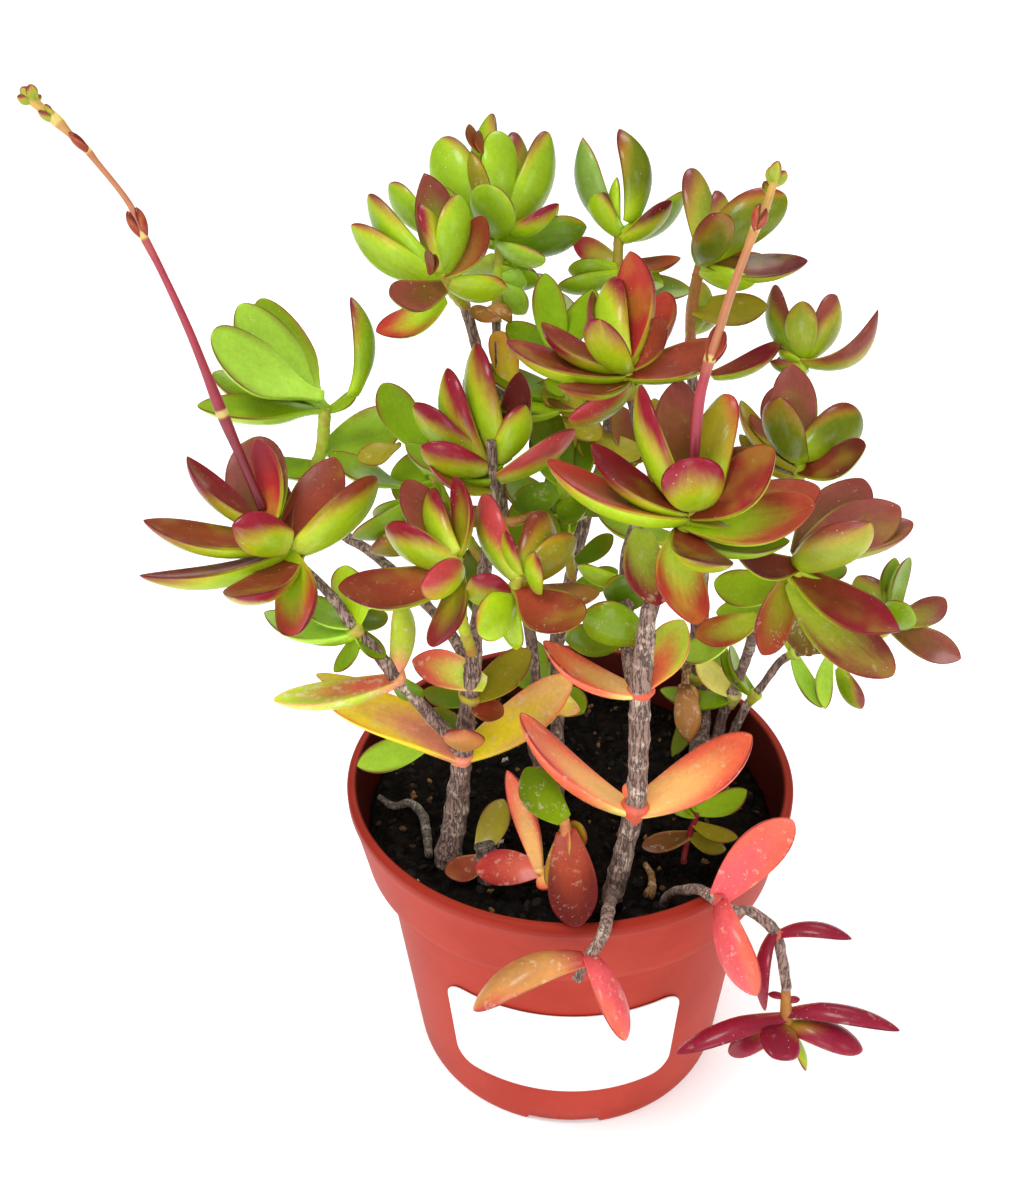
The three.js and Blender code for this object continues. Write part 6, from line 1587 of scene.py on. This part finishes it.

# %% [markdown]
# ## The pot
# A nursery pot is thin moulded plastic: a tapered body, a deeper collar that steps out from it, and
# a rolled lip. It was turned on a lathe as a mould, so here it is a profile turned round an axis,
# with the drain notches pressed up into its foot. The plastic is dusty terracotta, with painted
# shade inside the pot and along the rolled lip.

# %% The pot's plastic
def pot_finish():
    plastic = Finish("pot_plastic", Coat_Roughness=0.35, Specular_IOR_Level=0.08)
    dust = plastic.noise(46, 4, 0.6)
    grain = plastic.noise(1300, 2)
    lines = plastic.noise(1, 3, 0.6, plastic.stretched(25, 25, 620)) - 0.5
    inside = plastic.carried("inside")
    lip = plastic.carried("lip")
    colour = plastic.tint(plastic.rise(dust, 0.3, 0.7), rgb(160, 50, 36), rgb(172, 60, 46))
    colour = plastic.shade(colour, 1 + lines * 0.12 + (grain - 0.5) * 0.06)
    # Painted shade: the rolled lip is drawn darker.
    colour = plastic.tint(lip * 0.8, colour, rgb(128, 30, 18))
    # Painted shade: the inside of the pot is drawn nearly black.
    colour = plastic.tint(inside * 0.92, colour, rgb(52, 14, 10))
    chalk = (1 - plastic.rise(plastic.spots(160), 0.02, 0.05)) * plastic.rise(dust, 0.55, 0.65)
    colour = plastic.tint(chalk * 0.6, colour, rgb(240, 226, 214))
    return plastic.paint(Base_Color=colour, Roughness=0.42 + dust * 0.14 - lip * 0.1,
                         Normal=plastic.bumps(lines * 0.6 + grain * 0.25, 0.00025, 0.35))


POT_PLASTIC = pot_finish()
POT_HEIGHT, RIM_RADIUS, RIM_ROUND, LIP = 80.5, 53.0, 0.8, 2.2
COLLAR_FOOT_RADIUS, COLLAR_FOOT_HEIGHT = 50.0, 61.6
BODY_TOP_RADIUS, BASE_RADIUS, WALL, FLOOR = 46.1, 39.9, 1.6, 2.4
NOTCHES, FIRST_NOTCH, NOTCH_HALF, NOTCH_HEIGHT, NOTCH_REACH = 4, -91.2, 12.8, 1.8, 8.0


def body_radius(height):
    """The pot's outer radius at a height of its body."""
    return BASE_RADIUS + (BODY_TOP_RADIUS - BASE_RADIUS) * height / COLLAR_FOOT_HEIGHT


# %% The pot's profile
def between(start, end, count):
    """Even steps from one point of a profile to another."""
    return [tuple(row) for row in np.linspace(start, end, count)]


outside = (
    between((BASE_RADIUS - NOTCH_REACH, 0), (BASE_RADIUS - 0.6, 0), 3)
    + [(BASE_RADIUS, 0.5)]
    + between((body_radius(1.8), 1.8), (body_radius(60.8), 60.8), 16)
    + [(BODY_TOP_RADIUS + 0.2, 61.3), (BODY_TOP_RADIUS + 0.8, COLLAR_FOOT_HEIGHT)]
    + [(COLLAR_FOOT_RADIUS - 0.5, COLLAR_FOOT_HEIGHT)]
    + [(COLLAR_FOOT_RADIUS, COLLAR_FOOT_HEIGHT + 0.5)]
    + between((50.3, 64), (52.6, 77.2), 7)
    + [(52.75, 77.6), (53.0, 78.0), (RIM_RADIUS, POT_HEIGHT - RIM_ROUND)]
    + [(52.8, 80.2), (52.2, POT_HEIGHT), (51.4, 80.45), (RIM_RADIUS - LIP, 80.0)]
)
inside = between((50.6, 79.4), (48.5, 64), 6) + [(48.4, 63.6), (44.5, 60.6)] + between(
    (44.4, 59), (body_radius(FLOOR) - WALL, FLOOR), 6) + [(BASE_RADIUS - NOTCH_REACH, FLOOR)]
profile = np.array(outside + inside)
POT_SIDES = 360
angles = full_turn(POT_SIDES)
rings = np.stack([np.outer(profile[:, 0], np.cos(angles)), np.outer(profile[:, 0], np.sin(angles)),
                  np.repeat(profile[:, 1:], POT_SIDES, axis=1)], axis=-1)
print("the pot's profile has", len(profile), "points")
for number in range(NOTCHES):
    middle = math.radians(FIRST_NOTCH + number * 360 / NOTCHES)
    off = np.abs((angles - middle + np.pi) % (2 * np.pi) - np.pi)
    lifted = off < math.radians(NOTCH_HALF)
    for row in range(5):
        rings[row, lifted, 2] = NOTCH_HEIGHT + 0.02 * row

row_of = np.arange(len(profile))
# The lip's mask carries painted shade along the rolled lip, and a little more gloss there.
shaded_lip = np.exp(-((row_of - (len(outside) - 4)) / 2.2) ** 2)
# The inside's mask carries the painted shade inside the pot.
shaded_inside = (row_of >= len(outside) - 1).astype(float)
pot = Skins()
pot.add(rings, marks={
    "inside": np.append(np.repeat(shaded_inside, POT_SIDES), [0, 1]),
    "lip": np.append(np.repeat(shaded_lip, POT_SIDES), [0, 0]),
})
pot.piece("nursery_pot", [POT_PLASTIC], "pot")

# %% [markdown]
# ## The label
# A blank label with rounded corners wraps a fifth of the pot. It is a thin coated sheet, so it gets
# a little thickness, a soft sheen and a faint waviness where it was smoothed on by hand. A patch of
# colour on the pot would have no edge to catch the light, so the sheet is a piece of its own.

# %% The label
def label_finish():
    paper = Finish("label_paper", Coat_Weight=0.35, Coat_Roughness=0.25)
    cloud = paper.noise(60, 3)
    colour = paper.tint(cloud * 0.6, rgb(250, 249, 248), rgb(242, 240, 237))
    waves = paper.noise(90, 3) + paper.noise(1500, 1) * 0.1
    return paper.paint(Base_Color=colour, Roughness=0.4 + cloud * 0.15,
                       Normal=paper.bumps(waves, 0.0005, 0.3))


LABEL_PAPER = label_finish()
LABEL_FROM, LABEL_TO, LABEL_BOTTOM, LABEL_TOP = -128.5, -54.5, 15.3, 44.7
LABEL_CORNER, LABEL_THICK, LABEL_GAP = 5.0, 0.3, 0.3
COLUMNS, ROWS = 90, 16
span = math.radians(LABEL_TO - LABEL_FROM) * body_radius((LABEL_BOTTOM + LABEL_TOP) / 2)
rings = []
for column in range(COLUMNS + 1):
    share = (1 - math.cos(math.pi * column / COLUMNS)) / 2
    short = max(0, LABEL_CORNER - min(share, 1 - share) * span)
    inset = LABEL_CORNER - math.sqrt(LABEL_CORNER ** 2 - short ** 2)
    angle = math.radians(LABEL_FROM + (LABEL_TO - LABEL_FROM) * share)
    low, high = LABEL_BOTTOM + inset, LABEL_TOP - inset
    ring = [(body_radius(height) + LABEL_GAP + out, height)
            for out, heights in ((0, np.linspace(low, high, ROWS)),
                                 (LABEL_THICK, np.linspace(high, low, ROWS)))
            for height in heights]
    rings.append([(radius * math.cos(angle), radius * math.sin(angle), height)
                  for radius, height in ring])
label = Skins()
label.add(np.array(rings))
label.piece("blank_label", [LABEL_PAPER], "label")

# %% [markdown]
# ## The soil
# Potting soil is dark peat with bark crumbs, a few tan fibres and some white perlite. A bumpy
# texture on a flat disc looks like carpet at its rim, so the crumbs near the surface are real: a
# few small lumps of different colours, strewn by a seeded draw.

# %% The soil's finish
def soil_finish():
    earth = Finish("potting_soil", Specular_IOR_Level=0.15)
    coarse, fine = earth.noise(330, 5, 0.7), earth.noise(1400, 4, 0.7)
    colour = earth.tint(earth.rise(coarse, 0.35, 0.7), rgb(9, 7, 5), rgb(34, 25, 18))
    colour = earth.tint(earth.rise(fine, 0.62, 0.7) * 0.5, colour, rgb(104, 78, 50))
    return earth.paint(Base_Color=colour, Roughness=0.95,
                       Normal=earth.bumps(coarse + fine * 0.6, 0.0016, 1.0))


def crumb_finish():
    crumb = Finish("soil_crumbs")
    grain = crumb.noise(1300, 4, 0.7)
    colour = crumb.shade(crumb.carried("tone", "Color"), 0.6 + grain * 0.8)
    return crumb.paint(Base_Color=colour, Roughness=0.9, Normal=crumb.bumps(grain, 0.0006, 0.8))


POTTING_SOIL, SOIL_CRUMBS = soil_finish(), crumb_finish()
SOIL_RADIUS, SAG_RADIUS, RIM_SAG, PLUG_FOOT = 48.6, 44, 0.8, 58.0
SOIL_SIDES, SOIL_RINGS = 180, 70
SOIL_WAVES = ((0.3, 0.26, 1.0, 0.5), (0.9, 0.75, 2.0, 0.35), (2.1, 1.9, 0.4, 0.22))


def soil_height(x, y):
    """The soil's height at a place: three crossed waves of falling size."""
    return SOIL_LEVEL + sum(size * np.sin(way_x * x + shift) * np.cos(way_y * y + 0.7 * shift)
                            for way_x, way_y, shift, size in SOIL_WAVES)


# %% The soil's surface
turns = full_turn(SOIL_SIDES)
rings = [np.column_stack([SAG_RADIUS * np.cos(turns), SAG_RADIUS * np.sin(turns),
                          np.full(SOIL_SIDES, PLUG_FOOT)])]
for radius in np.linspace(SOIL_RADIUS, 0.4, SOIL_RINGS):
    x, y = radius * np.cos(turns), radius * np.sin(turns)
    sunk = RIM_SAG * max(0, (radius - SAG_RADIUS) / (SOIL_RADIUS - SAG_RADIUS)) ** 2
    rings.append(np.column_stack([x, y, soil_height(x, y) - sunk]))
soil = Skins()
soil.add(np.array(rings))
soil.piece("soil_bed", [POTTING_SOIL], "soil")

# %% Crumbs on the soil
CRUMB_SIDES, CRUMB_STRETCH = 6, np.array([1.3, 1.0, 0.7])
CRUMB_RINGS = ((0.6, -0.8), (1.0, -0.1), (0.7, 0.7))
# Each kind: how many, from what size to what size, and its colours.
CRUMB_KINDS = (
    (520, (0.4, 1.3), ((16, 12, 9), (30, 21, 14), (8, 6, 5))),
    (170, (0.3, 0.9), ((98, 66, 38), (132, 92, 50), (66, 44, 26))),
    (14, (0.6, 1.3), ((226, 214, 196), (196, 184, 164))),
)
luck = np.random.default_rng(7)
crumbs = Skins()
for count, (least, most), colours in CRUMB_KINDS:
    for _ in range(count):
        radius, turn = SOIL_RADIUS * 0.97 * math.sqrt(luck.uniform()), luck.uniform(0, 2 * np.pi)
        x, y = radius * math.cos(turn), radius * math.sin(turn)
        size = luck.uniform(least, most)
        centre = np.array([x, y, soil_height(x, y) + 0.1 * size])
        tumbled = np.linalg.qr(luck.normal(size=(3, 3)))[0] * CRUMB_STRETCH * size
        ring = full_turn(CRUMB_SIDES)
        lump = np.array([
            np.column_stack([wide * np.cos(ring), wide * np.sin(ring), np.full(CRUMB_SIDES, high)])
            for wide, high in CRUMB_RINGS
        ]) * luck.uniform(0.75, 1.25, (len(CRUMB_RINGS), CRUMB_SIDES, 1))
        tone = rgb(*colours[luck.integers(len(colours))])
        crumbs.add(centre + lump @ tumbled.T, marks={"tone": tone})
crumbs.piece("soil_crumbs", [SOIL_CRUMBS], None, crisp=True)

# %% [markdown]
# ## Floor and light
# The plant stands on a plain pale floor in soft studio light: a broad panel overhead and to the
# left, a weaker one from the right and an even pale surround. Small hard lamps would give the waxy
# leaves harsh sparks, and broad ones give them the long soft highlights of a photo studio.

# %% The floor
pale = Finish("pale_floor", Specular_IOR_Level=0.0, Emission_Strength=0.12)
pale.shader.inputs["Emission Color"].default_value = (1, 1, 1, 1)
pale.paint(Base_Color=pale.tint(pale.noise(6, 2), rgb(249, 249, 249), rgb(252, 252, 252)),
           Roughness=0.6)
floor_mesh = bpy.data.meshes.new("studio_floor")
REACH = 30.0
floor_mesh.from_pydata([(-REACH, -REACH, 0), (REACH, -REACH, 0), (REACH, REACH, 0),
                        (-REACH, REACH, 0)], [], [(0, 1, 2, 3)])
floor_mesh.materials.append(pale.material)
floor = bpy.data.objects.new("studio_floor", floor_mesh)
bpy.context.scene.collection.objects.link(floor)


# %% The lights
def panel(name, place, size, power, aim=(0, 0, 0.14)):
    light = bpy.data.lights.new(name, "AREA")
    light.shape, light.size, light.energy = "DISK", size, power
    lamp = bpy.data.objects.new(name, light)
    away = unit(np.array(place) - aim)
    side = unit(np.cross([0.0, 0.01, 1.0], away))
    lamp.matrix_world = turned_to(side, np.cross(away, side), away, place)
    bpy.context.scene.collection.objects.link(lamp)
    print("light", name, power, "W")


panel("key_panel", (-0.35, -0.3, 1.2), 0.4, 5.4)
panel("front_panel", (-0.15, -1.1, 0.5), 0.6, 3.2)
panel("fill_panel", (0.9, -0.7, 0.8), 0.5, 1.6)
panel("back_panel", (0.2, 0.9, 1.1), 0.5, 2.5)
surround = bpy.data.worlds.new("studio")
surround.use_nodes = True
background = surround.node_tree.nodes["Background"]
background.inputs["Color"].default_value = (1, 1, 1, 1)
background.inputs["Strength"].default_value = 1.06
surround.cycles_visibility.glossy = False
bpy.context.scene.world = surround
bpy.context.scene.view_settings.view_transform = "Standard"
